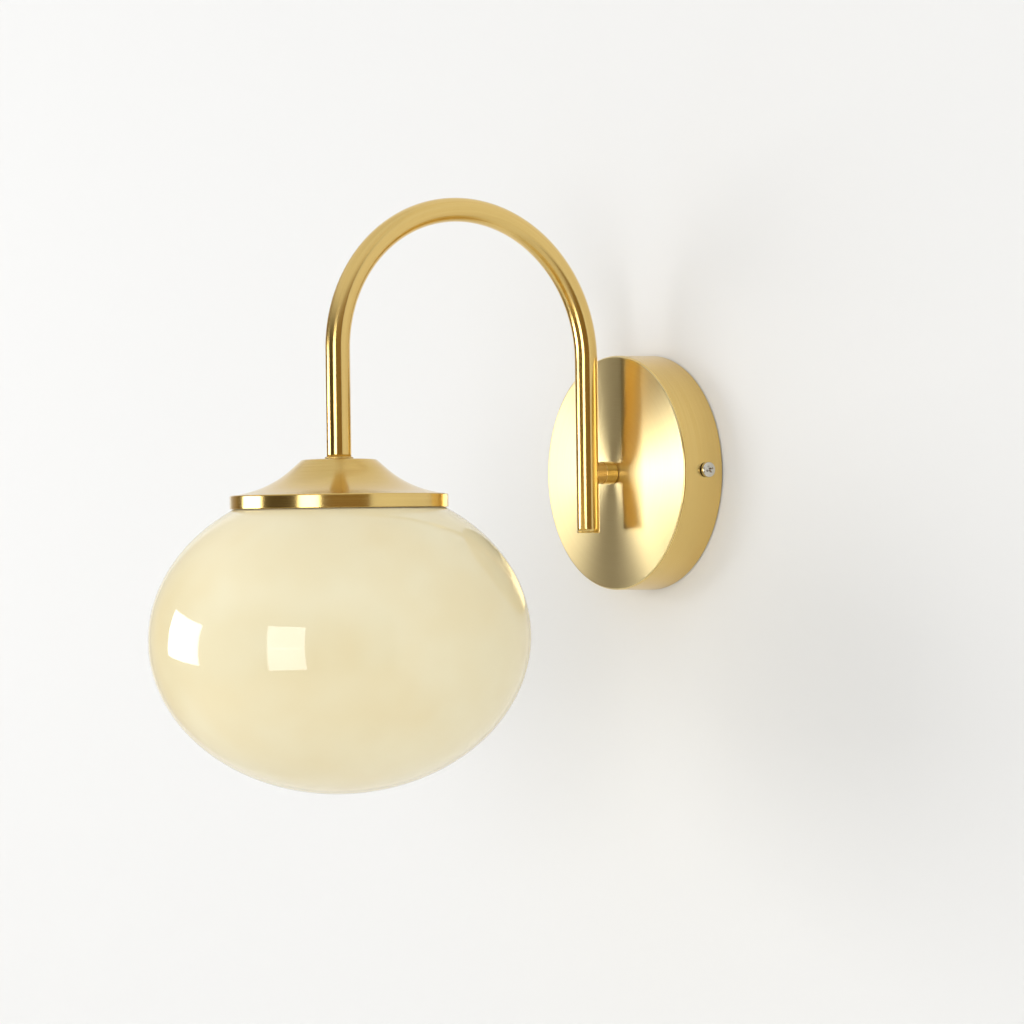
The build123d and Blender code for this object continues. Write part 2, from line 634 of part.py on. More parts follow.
def fitter_lock_washer():
    return FITTER * tooth_washer(THREAD_R + RUNNING, GALLERY_CEILING_Z - WASHER_T, GALLERY_CEILING_Z)


def fitter_lock_nut():
    return FITTER * hex_nut(THREAD_R + RUNNING, NUT_LOW_Z, NUT_LOW_Z + NUT_T)


# Globe, seal and screw thread

def thread_ridge(inner_r, outer_r, play, start_z, turns):
    """The helical ridge of the neck's thread, grown by play on its flanks."""
    base, crest = RIB_BASE / 2 + play, RIB_CREST / 2 + play
    slope = (base - crest) / RIB_DEPTH
    root_half = base + slope * (NECK_ROOT_R - inner_r)
    outer_half = base - slope * (outer_r - NECK_ROOT_R)
    outline = Polyline(
        at(inner_r, start_z - root_half),
        at(outer_r, start_z - outer_half),
        at(outer_r, start_z + outer_half),
        at(inner_r, start_z + root_half),
        close=True,
    )
    helix = Helix(PITCH, turns * PITCH, NECK_ROOT_R, center=(0, 0, start_z))
    return Rot(0, 0, THREAD_START) * sweep(make_face(outline), path=helix, is_frenet=True)


def globe_gallery():
    """Threaded ring under the bell's ceiling, open below, that takes the globe's neck."""
    bore = NECK_ROOT_R + GALLERY_BORE_PLAY
    ring = rod(GALLERY_R, GALLERY_LOW_Z, BELL_CEILING_Z)
    ring = chamfer(ring.edges().group_by(Axis.Z)[-1], GALLERY_CHAMFER)
    ring -= rod(bore, GALLERY_LOW_Z, GALLERY_CEILING_Z)
    ring -= rod(THREAD_R + CLEARANCE_HOLE, GALLERY_CEILING_Z, BELL_CEILING_Z)
    lead_turns = math.ceil((RIB_START_Z + RIB_BASE - GALLERY_LOW_Z) / PITCH)
    turns = lead_turns + THREAD_TURNS + THREAD_PLAY / PITCH
    groove = thread_ridge(NECK_ROOT_R, GROOVE_R, THREAD_PLAY, RIB_START_Z - lead_turns * PITCH, turns)
    return FITTER * (ring - groove)


def shoulder_reach(half_width, half_height, z):
    """Radius of an ellipsoid about the globe's centre at height z."""
    return half_width * math.sqrt(1 - ((z - GLOBE_Z) / half_height) ** 2)


def ellipsoid_edge(half_width, half_height, end_r, end_z):
    """Arc of the globe's section from its lowest point up to the shoulder."""
    end = math.degrees(math.atan2((end_z - GLOBE_Z) / half_height, end_r / half_width))
    frame = Plane(at(0, GLOBE_Z), x_dir=(1, 0, 0), z_dir=(0, -1, 0))
    return frame * EllipticalCenterArc((0, 0), half_width, half_height, start_angle=-90, arc_size=end + 90)


def globe():
    """The blown bowl with its flat shoulder, up to the root of the neck."""
    half_width, half_height = GLOBE_WIDTH / 2, GLOBE_HEIGHT / 2
    inner_width, inner_height = half_width - GLASS_WALL, half_height - GLASS_WALL
    inner_z = SHOULDER_Z - GLASS_WALL
    outer_r = shoulder_reach(half_width, half_height, SHOULDER_Z)
    inner_r = shoulder_reach(inner_width, inner_height, inner_z)
    bend = NECK_FILLET * (1 - math.sqrt(0.5))
    fillet_arc = [
        at(NECK_ROOT_R + NECK_FILLET, SHOULDER_Z),
        at(NECK_ROOT_R + bend, SHOULDER_Z + bend),
        at(NECK_ROOT_R, NECK_LOW_Z),
    ]
    return FITTER * turned(
        ellipsoid_edge(half_width, half_height, outer_r, SHOULDER_Z),
        Line(at(outer_r, SHOULDER_Z), fillet_arc[0]),
        ThreePointArc(*fillet_arc),
        Line(fillet_arc[-1], at(NECK_BORE_R, NECK_LOW_Z)),
        Line(at(NECK_BORE_R, NECK_LOW_Z), at(NECK_BORE_R, inner_z)),
        Line(at(NECK_BORE_R, inner_z), at(inner_r, inner_z)),
        ellipsoid_edge(inner_width, inner_height, inner_r, inner_z),
        Line(at(0, GLOBE_Z - inner_height), at(0, GLOBE_Z - half_height)),
    )


def globe_neck():
    """The neck of the same glass, with its screw rib."""
    neck = pipe(NECK_ROOT_R, NECK_BORE_R, NECK_LOW_Z, NECK_TOP_Z)
    neck = fillet(neck.edges().group_by(Axis.Z)[-1], NECK_LIP_R)
    rib = thread_ridge(NECK_ROOT_R - RIB_SINK, NECK_ROOT_R + RIB_DEPTH, 0, RIB_START_Z, THREAD_TURNS)
    return FITTER * (neck + rib)


def globe_seal():
    """A soft flat ring on the glass shoulder, under the gallery's lower edge."""
    low, high = SHOULDER_Z + SEAL_PLAY, GALLERY_LOW_Z - SEAL_PLAY
    ring = pipe(GALLERY_R + SEAL_LEDGE, NECK_ROOT_R + NECK_FILLET + SEAL_PLAY, low, high)
    return FITTER * fillet(ring.edges().filter_by(GeomType.CIRCLE), SEAL_EDGE_R)


# Lampholder and bulb

def lampholder_bracket():
    """A saddle strap, screwed on the nipple and riveted to both sides of the ceramic."""
    half = HOLDER_DEPTH / 2 + RUNNING
    low = HOLDER_TOP_Z - STRAP_LEG_OVERLAP
    strap = block(STRAP_LEG_WIDTH, 2 * (half + STRAP_T), low, STRAP_TOP_Z)
    strap -= block(STRAP_LEG_WIDTH, 2 * half, low, STRAP_TOP_Z - STRAP_T)
    strap -= rod(THREAD_R + RUNNING, STRAP_TOP_Z - STRAP_T, STRAP_TOP_Z)
    return FITTER * (strap - rivet_rods(RIVET_R + RUNNING, half + STRAP_T))


def rivet_rods(radius, reach):
    """Rods through the strap's legs into the ceramic."""
    rise = HOLDER_TOP_Z - STRAP_LEG_OVERLAP / 2
    length = reach - HOLDER_DEPTH / 2 + RIVET_IN
    front = Pos(0, -reach, rise) * Rot(-90, 0, 0) * rod(radius, 0, length)
    return front + Rot(0, 0, 180) * front


def lampholder_rivets():
    reach = HOLDER_DEPTH / 2 + RUNNING + STRAP_T
    rise = HOLDER_TOP_Z - STRAP_LEG_OVERLAP / 2
    head = Pos(0, -reach, rise) * Rot(90, 0, 0) * rod(RIVET_HEAD_R, 0, RIVET_HEAD_T)
    heads = head + Rot(0, 0, 180) * head
    return FITTER * (heads + rivet_rods(RIVET_R, reach))


def lampholder_body():
    body = block(HOLDER_WIDTH, HOLDER_DEPTH, HOLDER_BOTTOM_Z, HOLDER_TOP_Z)
    body = fillet(body.edges().filter_by(Axis.Z), HOLDER_EDGE_R)
    floor = HOLDER_TOP_Z - CHAMBER_HEIGHT
    body -= block(CHAMBER_WIDTH, CHAMBER_DEPTH, floor, HOLDER_TOP_Z)
    for side in (-1, 1):
        pin = Pos(side * PIN_PITCH / 2, 0, 0)
        body -= pin * block(SLOT_HOLE_X, SLOT_HOLE_Y, HOLDER_BOTTOM_Z, HOLDER_BOTTOM_Z + SLOT_HOLE_DEPTH)
        body -= pin * block(TAIL_WIDTH + 2 * RUNNING, TAIL_T + 2 * RUNNING, HOLDER_BOTTOM_Z, floor)
    return FITTER * (body - rivet_rods(RIVET_R + RUNNING, HOLDER_DEPTH / 2 + STRAP_T))


def lampholder_contacts():
    """Two spring clips: a pair of leaves round each pin, bridged above, with a tail to the wire chamber."""
    high = HOLDER_BOTTOM_Z + SLOT_HOLE_DEPTH - RUNNING
    low = high - CONTACT_LENGTH
    gap = 2 * (PIN_WIRE_R + RUNNING)
    clip = block(CONTACT_WIDTH, gap + 2 * CONTACT_T, low, high)
    clip -= block(CONTACT_WIDTH, gap, low, high - CONTACT_T)
    clip += block(TAIL_WIDTH, TAIL_T, high - CONTACT_T, HOLDER_TOP_Z - CHAMBER_HEIGHT + TAIL_T)
    return group(FITTER * (Pos(side * PIN_PITCH / 2, 0, 0) * clip) for side in (-1, 1))


def bulb_base():
    base = block(BASE_WIDTH, BASE_DEPTH, BASE_BOTTOM_Z, BULB_TOP_Z)
    base = fillet(base.edges().filter_by(Axis.Z), BASE_EDGE_R)
    for side in (-1, 1):
        for leg in (-1, 1):
            x = side * PIN_PITCH / 2 + leg * PIN_LOOP_R
            base -= Pos(x, 0, 0) * rod(PIN_WIRE_R + RUNNING, BULB_TOP_Z - PIN_IN_BASE, BULB_TOP_Z)
    return FITTER * base


def bulb_pins():
    """Two hairpin loops of wire that stand up out of the base."""
    low, bend = BULB_TOP_Z - PIN_IN_BASE, BULB_TOP_Z + PIN_LENGTH - PIN_LOOP_R
    up = Line(at(-PIN_LOOP_R, low), at(-PIN_LOOP_R, bend))
    over = ThreePointArc(up @ 1, at(0, bend + PIN_LOOP_R), at(PIN_LOOP_R, bend))
    down = Line(over @ 1, at(PIN_LOOP_R, low))
    path = Wire(up.edges() + over.edges() + down.edges())
    loop = sweep(Plane(path @ 0, z_dir=(0, 0, 1)) * Circle(PIN_WIRE_R), path=path)
    return group(FITTER * (Pos(side * PIN_PITCH / 2, 0, 0) * loop) for side in (-1, 1))


def bulb_cover():
    """A clear capsule, open at the base and round below."""
    low = BASE_BOTTOM_Z - COVER_LENGTH + COVER_R
    outer = rod(COVER_R, low, BASE_BOTTOM_Z) + Pos(0, 0, low) * Sphere(COVER_R)
    inner_r = COVER_R - COVER_WALL
    return FITTER * (outer - rod(inner_r, low, BASE_BOTTOM_Z) - Pos(0, 0, low) * Sphere(inner_r))


def bulb_led_board():
    return FITTER * block(BOARD_WIDTH, BOARD_T, BASE_BOTTOM_Z - BOARD_LENGTH, BASE_BOTTOM_Z)


PIECES = [
    canopy, wall_bracket, side_screws,
    terminal_body, terminal_inserts, terminal_screws, terminal_fixing_screw,
    earth_screw, earth_lug, earth_wire, live_wire, neutral_wire,
    stem_nipple, stem_lock_washer, stem_lock_nut, stem_sleeve, stem_boss,
    arm_tube, arm_end_plug, arm_outlet_bush,
    fitter_nipple, fitter_collar_ring, fitter_bell, fitter_lock_washer, fitter_lock_nut,
    globe_gallery, globe, globe_neck, globe_seal,
    lampholder_bracket, lampholder_rivets, lampholder_body, lampholder_contacts,
    bulb_base, bulb_pins, bulb_cover, bulb_led_board,
]

os.makedirs("parts", exist_ok=True)
for piece in PIECES:
    export_step(piece(), f"parts/{piece.__name__}.step")
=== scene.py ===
import json
import math

import bmesh
import bpy
from mathutils import Matrix, Vector

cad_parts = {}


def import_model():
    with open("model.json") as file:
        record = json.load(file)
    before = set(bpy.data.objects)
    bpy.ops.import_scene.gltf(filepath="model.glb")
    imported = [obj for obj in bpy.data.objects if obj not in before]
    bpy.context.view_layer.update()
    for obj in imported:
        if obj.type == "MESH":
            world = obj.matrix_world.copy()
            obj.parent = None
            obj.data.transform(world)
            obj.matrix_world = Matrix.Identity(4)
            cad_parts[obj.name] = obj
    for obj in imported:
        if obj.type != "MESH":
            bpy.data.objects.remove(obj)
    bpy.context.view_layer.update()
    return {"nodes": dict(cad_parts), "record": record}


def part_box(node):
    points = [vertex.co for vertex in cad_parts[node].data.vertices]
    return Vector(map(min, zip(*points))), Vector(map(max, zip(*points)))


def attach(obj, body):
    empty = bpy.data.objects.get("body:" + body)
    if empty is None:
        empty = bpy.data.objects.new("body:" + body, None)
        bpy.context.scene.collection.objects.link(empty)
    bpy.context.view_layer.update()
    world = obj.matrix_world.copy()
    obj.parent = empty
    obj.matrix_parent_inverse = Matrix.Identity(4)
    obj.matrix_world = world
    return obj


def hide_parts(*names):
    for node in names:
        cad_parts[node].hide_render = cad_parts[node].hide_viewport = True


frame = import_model()
MM = 0.001

# Camera, from the photograph's view: azimuth and distance about the canopy, and the shift of its aim
CAMERA_AZIMUTH = math.radians(57.27)
CAMERA_DISTANCE = 0.9596
CAMERA_SIDE = -0.0705
CAMERA_RISE = -0.0211
CAMERA_PITCH = math.radians(0.12)
CAMERA_ROLL = math.radians(-0.77)
CAMERA_LENS = 65.66
CAMERA_SENSOR = 36.0

# Places of the main pieces, from the frame
GLOBE_LOW, GLOBE_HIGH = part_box("globe")
NECK_LOW, NECK_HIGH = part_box("globe_neck")
CANOPY_LOW, CANOPY_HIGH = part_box("canopy")
TUBE_LOW, TUBE_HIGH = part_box("arm_tube")
BELL_LOW, BELL_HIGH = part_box("fitter_bell")
RING_LOW, RING_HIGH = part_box("fitter_collar_ring")
PLUG_LOW, PLUG_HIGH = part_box("arm_end_plug")
SLEEVE_LOW, SLEEVE_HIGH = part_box("stem_sleeve")
GLASS_Y = (GLOBE_LOW.y + GLOBE_HIGH.y) / 2
NECK_R = 13.82 * MM     # glass neck beside its rib

# Turning: parts of a full circle in a turned piece, and of a rounded corner
SEGMENTS = 192
CORNER_STEPS = 6
SUPPORT = 0.35 * MM     # rings set close to a corner, so that flats stay flat in smooth shading


# Small tools

def linear(colour):
    """An sRGB hex colour as the linear RGBA that shaders use."""
    parts = [int(colour[i:i + 2], 16) / 255 for i in (1, 3, 5)]
    return (*(p / 12.92 if p <= 0.04045 else ((p + 0.055) / 1.055) ** 2.4 for p in parts), 1.0)


def add(tree, kind, inputs=None, **settings):
    """A node with its settings. An input is a plain value, an output, a node for its first output, or a list."""
    node = tree.nodes.new(kind)
    for name, value in settings.items():
        setattr(node, name, value)
    for name, value in (inputs or {}).items():
        for source in value if isinstance(value, list) else [value]:
            if isinstance(source, bpy.types.Node):
                source = source.outputs[0]
            if isinstance(source, bpy.types.NodeSocket):
                tree.links.new(source, node.inputs[name])
            else:
                node.inputs[name].default_value = source
    return node


def on_fitter(x, y, height):
    """From a turned piece's own axis to the glass leg's axis."""
    return Vector((x, y + GLASS_Y, height))


def on_wall(x, y, out):
    """From a turned piece's own axis to the canopy's axis, which stands out from the wall."""
    return Vector((x, -out, y))


def on_wall_leg(x, y, height):
    """From a turned piece's own axis to the axis of the arm's wall leg."""
    return Vector((x, y + (PLUG_LOW.y + PLUG_HIGH.y) / 2, height))


def arc(centre, radius, start, end, steps):
    """Points on a circle from one angle to another, both in radians."""
    angles = [start + (end - start) * i / steps for i in range(steps + 1)]
    return [(centre[0] + radius * math.cos(a), centre[1] + radius * math.sin(a)) for a in angles]


def rounded(corners):
    """Closed outline through corners (x, y, radius), each drawn as an arc, with close rings beside the arcs."""
    outline = []
    for index, (x, y, radius) in enumerate(corners):
        here = Vector((x, y))
        before = (Vector(corners[index - 1][:2]) - here).normalized()
        after = (Vector(corners[(index + 1) % len(corners)][:2]) - here).normalized()
        if radius == 0:
            outline.append((x, y))
            continue
        half = before.angle(after) / 2
        reach = radius / math.tan(half)
        centre = here + (before + after).normalized() * (radius / math.sin(half))
        start, end = here + before * reach - centre, here + after * reach - centre
        turn = start.angle_signed(end)
        outline.append(tuple(here + before * (reach + SUPPORT)))
        for step in range(CORNER_STEPS + 1):
            spoke = start.copy()
            spoke.rotate(Matrix.Rotation(-turn * step / CORNER_STEPS, 2))
            outline.append(tuple(centre + spoke))
        outline.append(tuple(here + after * (reach + SUPPORT)))
    return outline


def finish_mesh(name, bm, material):
    """A piece from a bmesh, with its faces outwards and smooth."""
    bmesh.ops.recalc_face_normals(bm, faces=bm.faces)
    mesh = bpy.data.meshes.new(name)
    bm.to_mesh(mesh)
    bm.free()
    mesh.polygons.foreach_set("use_smooth", [True] * len(mesh.polygons))
    mesh.materials.append(material)
    piece = bpy.data.objects.new(name, mesh)
    bpy.context.scene.collection.objects.link(piece)
    return piece


def turned(name, outline, place, material):
    """A piece turned from a closed outline of (radius, height); the UV map runs round it and along the outline, with
    its seam at the top or on the wall side."""
    bm = bmesh.new()
    grain = bm.loops.layers.uv.new("grain")
    mean_r = sum(radius for radius, height in outline) / len(outline)
    rings, lengths, length = [], [], 0.0
    for index, (radius, height) in enumerate(outline):
        count = 1 if radius < 1e-7 else SEGMENTS
        angles = [math.pi / 2 + 2 * math.pi * k / SEGMENTS for k in range(count)]
        rings.append([bm.verts.new(place(radius * math.cos(a), radius * math.sin(a), height)) for a in angles])
        if index:
            length += (Vector(outline[index]) - Vector(outline[index - 1])).length
        lengths.append(length)
    lengths.append(length + (Vector(outline[0]) - Vector(outline[-1])).length)
    for index, ring in enumerate(rings):
        other = rings[(index + 1) % len(rings)]
        if len(ring) == 1 and len(other) == 1:
            continue
        for k in range(SEGMENTS):
            corners = [(ring, k, index), (ring, k + 1, index), (other, k + 1, index + 1), (other, k, index + 1)]
            verts, places = [], []
            for source, turn, row in corners:
                vert = source[turn % len(source)]
                if vert not in verts:
                    verts.append(vert)
                    places.append((2 * math.pi * mean_r * turn / SEGMENTS, lengths[row]))
            face = bm.faces.new(verts)
            for loop, uv in zip(face.loops, places):
                loop[grain].uv = uv
    return finish_mesh(name, bm, material)


def plain_copy(name, source):
    """A piece with its source's finished mesh, without modifiers; the source goes."""
    graph = bpy.context.evaluated_depsgraph_get()
    mesh = bpy.data.meshes.new_from_object(source.evaluated_get(graph), depsgraph=graph)
    bpy.data.objects.remove(source)
    mesh.name = name
    if mesh.materials[0] is None:   # the empty slot that a tree's primitives bring
        mesh.materials.pop(index=0)
    piece = bpy.data.objects.new(name, mesh)
    bpy.context.scene.collection.objects.link(piece)
    return piece


def from_nodes(name, tree, material, settings, finishing=()):
    """A plain mesh from a geometry tree whose inputs get these settings, and from modifiers that finish it."""
    source = bpy.data.objects.new(name + "_source", bpy.data.meshes.new(name + "_source"))
    bpy.context.scene.collection.objects.link(source)
    nodes = source.modifiers.new("shape", "NODES")
    nodes.node_group = tree
    values = dict(settings, Material=material)
    for item in tree.interface.items_tree:
        if item.in_out == "INPUT" and item.name in values:
            nodes[item.identifier] = values[item.name]
    for kind, options in finishing:
        modifier = source.modifiers.new(kind.lower(), kind)
        for option, value in options.items():
            setattr(modifier, option, value)
    return plain_copy(name, source)


def new_tree(name, sockets):
    """A geometry tree with named number inputs, a material input and a geometry output."""
    tree = bpy.data.node_groups.new(name, "GeometryNodeTree")
    for socket, kind in sockets:
        tree.interface.new_socket(socket, in_out="INPUT", socket_type=kind)
    tree.interface.new_socket("Material", in_out="INPUT", socket_type="NodeSocketMaterial")
    tree.interface.new_socket("Geometry", in_out="OUTPUT", socket_type="NodeSocketGeometry")
    return tree, add(tree, "NodeGroupInput").outputs


def end_tree(tree, geometry, material):
    """Every tree ends in real geometry with its material on it."""
    real = add(tree, "GeometryNodeRealizeInstances", {"Geometry": geometry})
    smooth = add(tree, "GeometryNodeSetShadeSmooth", {"Geometry": real})
    dressed = add(tree, "GeometryNodeSetMaterial", {"Geometry": smooth, "Material": material})
    add(tree, "NodeGroupOutput", {"Geometry": dressed})


# Materials

def new_material(name):
    material = bpy.data.materials.new(name)
    material.use_nodes = True
    tree = material.node_tree
    return material, tree, tree.nodes["Principled BSDF"]


def hairlines(tree, along, across):
    """Fine streaks that follow the grain UV map's first direction; both sizes are millimetres."""
    uv = add(tree, "ShaderNodeUVMap", uv_map="grain")
    size = add(tree, "ShaderNodeMapping", {"Vector": uv.outputs["UV"],
                                           "Scale": (1 / (along * MM), 1 / (across * MM), 1)})
    noise = add(tree, "ShaderNodeTexNoise", {"Vector": size.outputs["Vector"], "Scale": 1.0, "Detail": 1.5,
                                             "Roughness": 0.6}, noise_dimensions="2D")
    return noise.outputs["Fac"]


def satin_brass(name, low, high, along, across, roughness, spread, anisotropy, turn, relief):
    """Brass under a thin clear lacquer, brushed with a fine belt: pale warm gold, with soft streaks that stretch each
    highlight across the brush lines. The real lines are about 0.1 mm apart and are drawn coarser, so that they show."""
    material, tree, shader = new_material(name)
    streaks = hairlines(tree, along, across)
    tint = add(tree, "ShaderNodeMix", {"Factor": streaks, "A": linear(low), "B": linear(high)}, data_type="RGBA")
    rough = add(tree, "ShaderNodeMapRange", {"Value": streaks, "From Min": 0.25, "From Max": 0.75,
                                             "To Min": roughness - spread, "To Max": roughness + spread})
    bump = add(tree, "ShaderNodeBump", {"Height": streaks, "Strength": relief, "Distance": 0.05 * MM})
    tangent = add(tree, "ShaderNodeTangent", direction_type="UV_MAP", uv_map="grain")
    tree.links.new(tint.outputs["Result"], shader.inputs["Base Color"])
    tree.links.new(rough.outputs["Result"], shader.inputs["Roughness"])
    tree.links.new(bump.outputs["Normal"], shader.inputs["Normal"])
    tree.links.new(tangent.outputs["Tangent"], shader.inputs["Tangent"])
    shader.inputs["Metallic"].default_value = 1.0
    shader.inputs["Coat Weight"].default_value = 0.2
    shader.inputs["Coat Roughness"].default_value = 0.15
    shader.inputs["Anisotropic"].default_value = anisotropy
    shader.inputs["Anisotropic Rotation"].default_value = turn
    return material


def opal_glass():
    """Mouth-blown opal glass: milky cream body that scatters light, faintly cloudy and deeper where it is seen edge-on,
    under a hard fire-polished gloss."""
    material, tree, shader = new_material("opal_glass")
    where = add(tree, "ShaderNodeTexCoord")
    size = add(tree, "ShaderNodeMapping", {"Vector": where.outputs["Object"], "Scale": (1 / (40 * MM),) * 3})
    cloud = add(tree, "ShaderNodeTexNoise", {"Vector": size.outputs["Vector"], "Scale": 1.0, "Detail": 2.0})
    tint = add(tree, "ShaderNodeMix", {"Factor": cloud.outputs["Fac"], "A": linear("#F1DFAE"), "B": linear("#F9F2D2")},
               data_type="RGBA")
    slant = add(tree, "ShaderNodeLayerWeight", {"Blend": 0.5})
    edge = add(tree, "ShaderNodeMapRange", {"Value": slant.outputs["Facing"], "From Min": 0.8, "From Max": 1.0})
    deep = add(tree, "ShaderNodeMix", {"Factor": edge, "A": tint.outputs["Result"], "B": linear("#C2AD6E")},
               data_type="RGBA")
    tree.links.new(deep.outputs["Result"], shader.inputs["Base Color"])
    shader.inputs["Roughness"].default_value = 0.04
    shader.inputs["IOR"].default_value = 1.52
    return material


def speckled(name, low, high, grain, roughness, metallic=0.0, bump=0.0, recess_shade=None):
    """A plain finish with the small variation that its surface shows; grain is the size of a patch in millimetres. The
    dark colour given for recesses is painted shade, mixed in where ambient occlusion finds a recess."""
    material, tree, shader = new_material(name)
    where = add(tree, "ShaderNodeTexCoord")
    size = add(tree, "ShaderNodeMapping", {"Vector": where.outputs["Object"], "Scale": (1 / (grain * MM),) * 3})
    noise = add(tree, "ShaderNodeTexNoise", {"Vector": size, "Scale": 1.0, "Detail": 4.0})
    tint = add(tree, "ShaderNodeMix", {"Factor": noise, "A": linear(low), "B": linear(high)}, data_type="RGBA")
    rough = add(tree, "ShaderNodeMapRange", {"Value": noise, "To Min": roughness - 0.08, "To Max": roughness + 0.08})
    if recess_shade:
        # painted shade: a dark colour mixed in where ambient occlusion finds a recess
        hollow = add(tree, "ShaderNodeAmbientOcclusion", {"Distance": 1.2 * MM}, samples=8)
        unshaded_share = add(tree, "ShaderNodeMapRange", {"Value": hollow.outputs["AO"], "From Min": 0.35, "From Max": 0.75})
        tint = add(tree, "ShaderNodeMix", {"Factor": unshaded_share, "A": linear(recess_shade), "B": tint.outputs["Result"]},
                   data_type="RGBA")
    tree.links.new(tint.outputs["Result"], shader.inputs["Base Color"])
    tree.links.new(rough.outputs["Result"], shader.inputs["Roughness"])
    shader.inputs["Metallic"].default_value = metallic
    if bump:
        relief = add(tree, "ShaderNodeBump", {"Height": noise, "Strength": bump, "Distance": grain * MM * 0.1})
        tree.links.new(relief.outputs["Normal"], shader.inputs["Normal"])
    return material


# Spun face, brushed round: a light and a dark bow tie turn about its centre.
# Its brass is paler than the drum's: painted light that makes its highlights read whiter.
SPUN_FACE = satin_brass("brass_spun_face", "#E8D39B", "#EDDBA6", along=200.0, across=0.7, roughness=0.275,
                        spread=0.001, anisotropy=0.935, turn=0.25, relief=0.0)
# Spun upright bands, brushed round: highlights run from edge to edge
SPUN_DRUM = satin_brass("brass_spun_drum", "#DAB769", "#EACE87", along=120.0, across=0.5, roughness=0.23,
                        spread=0.03, anisotropy=0.82, turn=0.25, relief=0.012)
# Spun and polished flare, sleeve and caps: clearer reflections.
# Their brass is darker than the drum's: painted shade.
SPUN_BELL = satin_brass("brass_spun_bell", "#CFAC5E", "#E3C67E", along=80.0, across=0.5, roughness=0.20,
                        spread=0.03, anisotropy=0.86, turn=0.25, relief=0.012)
# Drawn tube with faint die lines along it, brushed round: sharp stripes along its length
DRAWN_TUBE = satin_brass("brass_drawn_tube", "#DBB669", "#E7CB83", along=90.0, across=0.8, roughness=0.20,
                         spread=0.008, anisotropy=0.75, turn=0.0, relief=0.004)
OPAL = opal_glass()
NODE_MATERIALS = {
    # Bare turned brass: deeper and duller than the lacquered pieces
    "raw_brass": speckled("brass_turned", "#B8954E", "#C9A75F", 1.5, 0.32, metallic=1.0),
    # Bright nickel: a small cold mirror, with painted shade in the recess of the cross
    "nickel": speckled("nickel_plate", "#C9C6BE", "#DAD8D2", 2.0, 0.16, metallic=1.0, recess_shade="#2A2018"),
    # Zinc on pressed steel: blue-grey, half matt and a little patchy
    "zinc_steel": speckled("zinc_plated_steel", "#A5A8A6", "#C3C5C2", 3.0, 0.38, metallic=1.0),
    # Tinned copper: softer and warmer than the zinc
    "tinned_copper": speckled("tinned_copper", "#B9B5AB", "#CFCBC1", 1.0, 0.40, metallic=1.0),
    # Silicone: matt and slightly translucent white
    "silicone": speckled("silicone_moulded", "#DAD7CB", "#E4E1D6", 2.0, 0.62),
    # Nylon: milky white with a fine moulding grain
    "nylon": speckled("nylon_moulded", "#E3E0D5", "#ECEAE1", 1.2, 0.48, bump=0.1),
    # Steatite: dry, chalky off-white
    "steatite": speckled("steatite_pressed", "#E4E1D8", "#EFEDE6", 0.6, 0.70, bump=0.2),
    # Wire covers: even, rubbery colours
    "live_insulation": speckled("wire_cover_brown", "#4F2C18", "#5D3520", 1.0, 0.5),
    "neutral_insulation": speckled("wire_cover_blue", "#23508F", "#2C5FA6", 1.0, 0.5),
    "earth_insulation": speckled("wire_cover_green", "#5F8A2C", "#86A23A", 3.0, 0.5),
    # Moulded white plastic with a soft gloss
    "bulb_plastic": speckled("bulb_base_plastic", "#EDECE8", "#F4F3F0", 2.0, 0.35),
    # Frosted cover: pale and even, it hides the board
    "frosted_cover": speckled("frosted_cover", "#F0F0EC", "#F7F7F4", 2.0, 0.45),
    # White lacquer on the board
    "led_board": speckled("board_white_lacquer", "#E9E9E2", "#F2F2EC", 1.5, 0.35),
    # Plain satin brass for small turned pieces
    "satin_brass": speckled("brass_satin_plain", "#DDB873", "#E8C788", 0.4, 0.30, metallic=1.0),
}


def dress_nodes():
    """Each CAD node's slot gives it a finish."""
    for entry in frame["record"]["subparts"]:
        mesh = frame["nodes"][entry["node"]].data
        if entry["material_slot"] in NODE_MATERIALS:
            mesh.materials.clear()
            mesh.materials.append(NODE_MATERIALS[entry["material_slot"]])


# Pieces

def settle(piece, body, slot, *nodes):
    """A piece rides on its body and stands for its nodes; its slot is not used."""
    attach(piece, body)
    if nodes:
        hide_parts(*nodes)


def canopy_shell():
    wall, draft, edge = 1.0 * MM, 0.7 * MM, 1.2 * MM
    back_r = (CANOPY_HIGH.x - CANOPY_LOW.x) / 2
    back, front = -CANOPY_HIGH.y, -CANOPY_LOW.y
    front_r = back_r - draft
    outline = rounded([
        (0, front, 0), (front_r, front, edge), (back_r, back, 0.25 * MM), (back_r - wall, back, 0.25 * MM),
        (front_r - wall, front - wall, 0.6 * MM), (0, front - wall, 0),
    ])
    piece = turned("canopy_shell", outline, on_wall, SPUN_FACE)
    piece.data.materials.append(SPUN_DRUM)
    for face in piece.data.polygons:
        # the face takes the paler brass, painted light for whiter highlights; the drum keeps the plain brass
        face.material_index = int(abs(face.normal.y) < 0.7)
    settle(piece, "fixture", "satin_brass", "canopy")


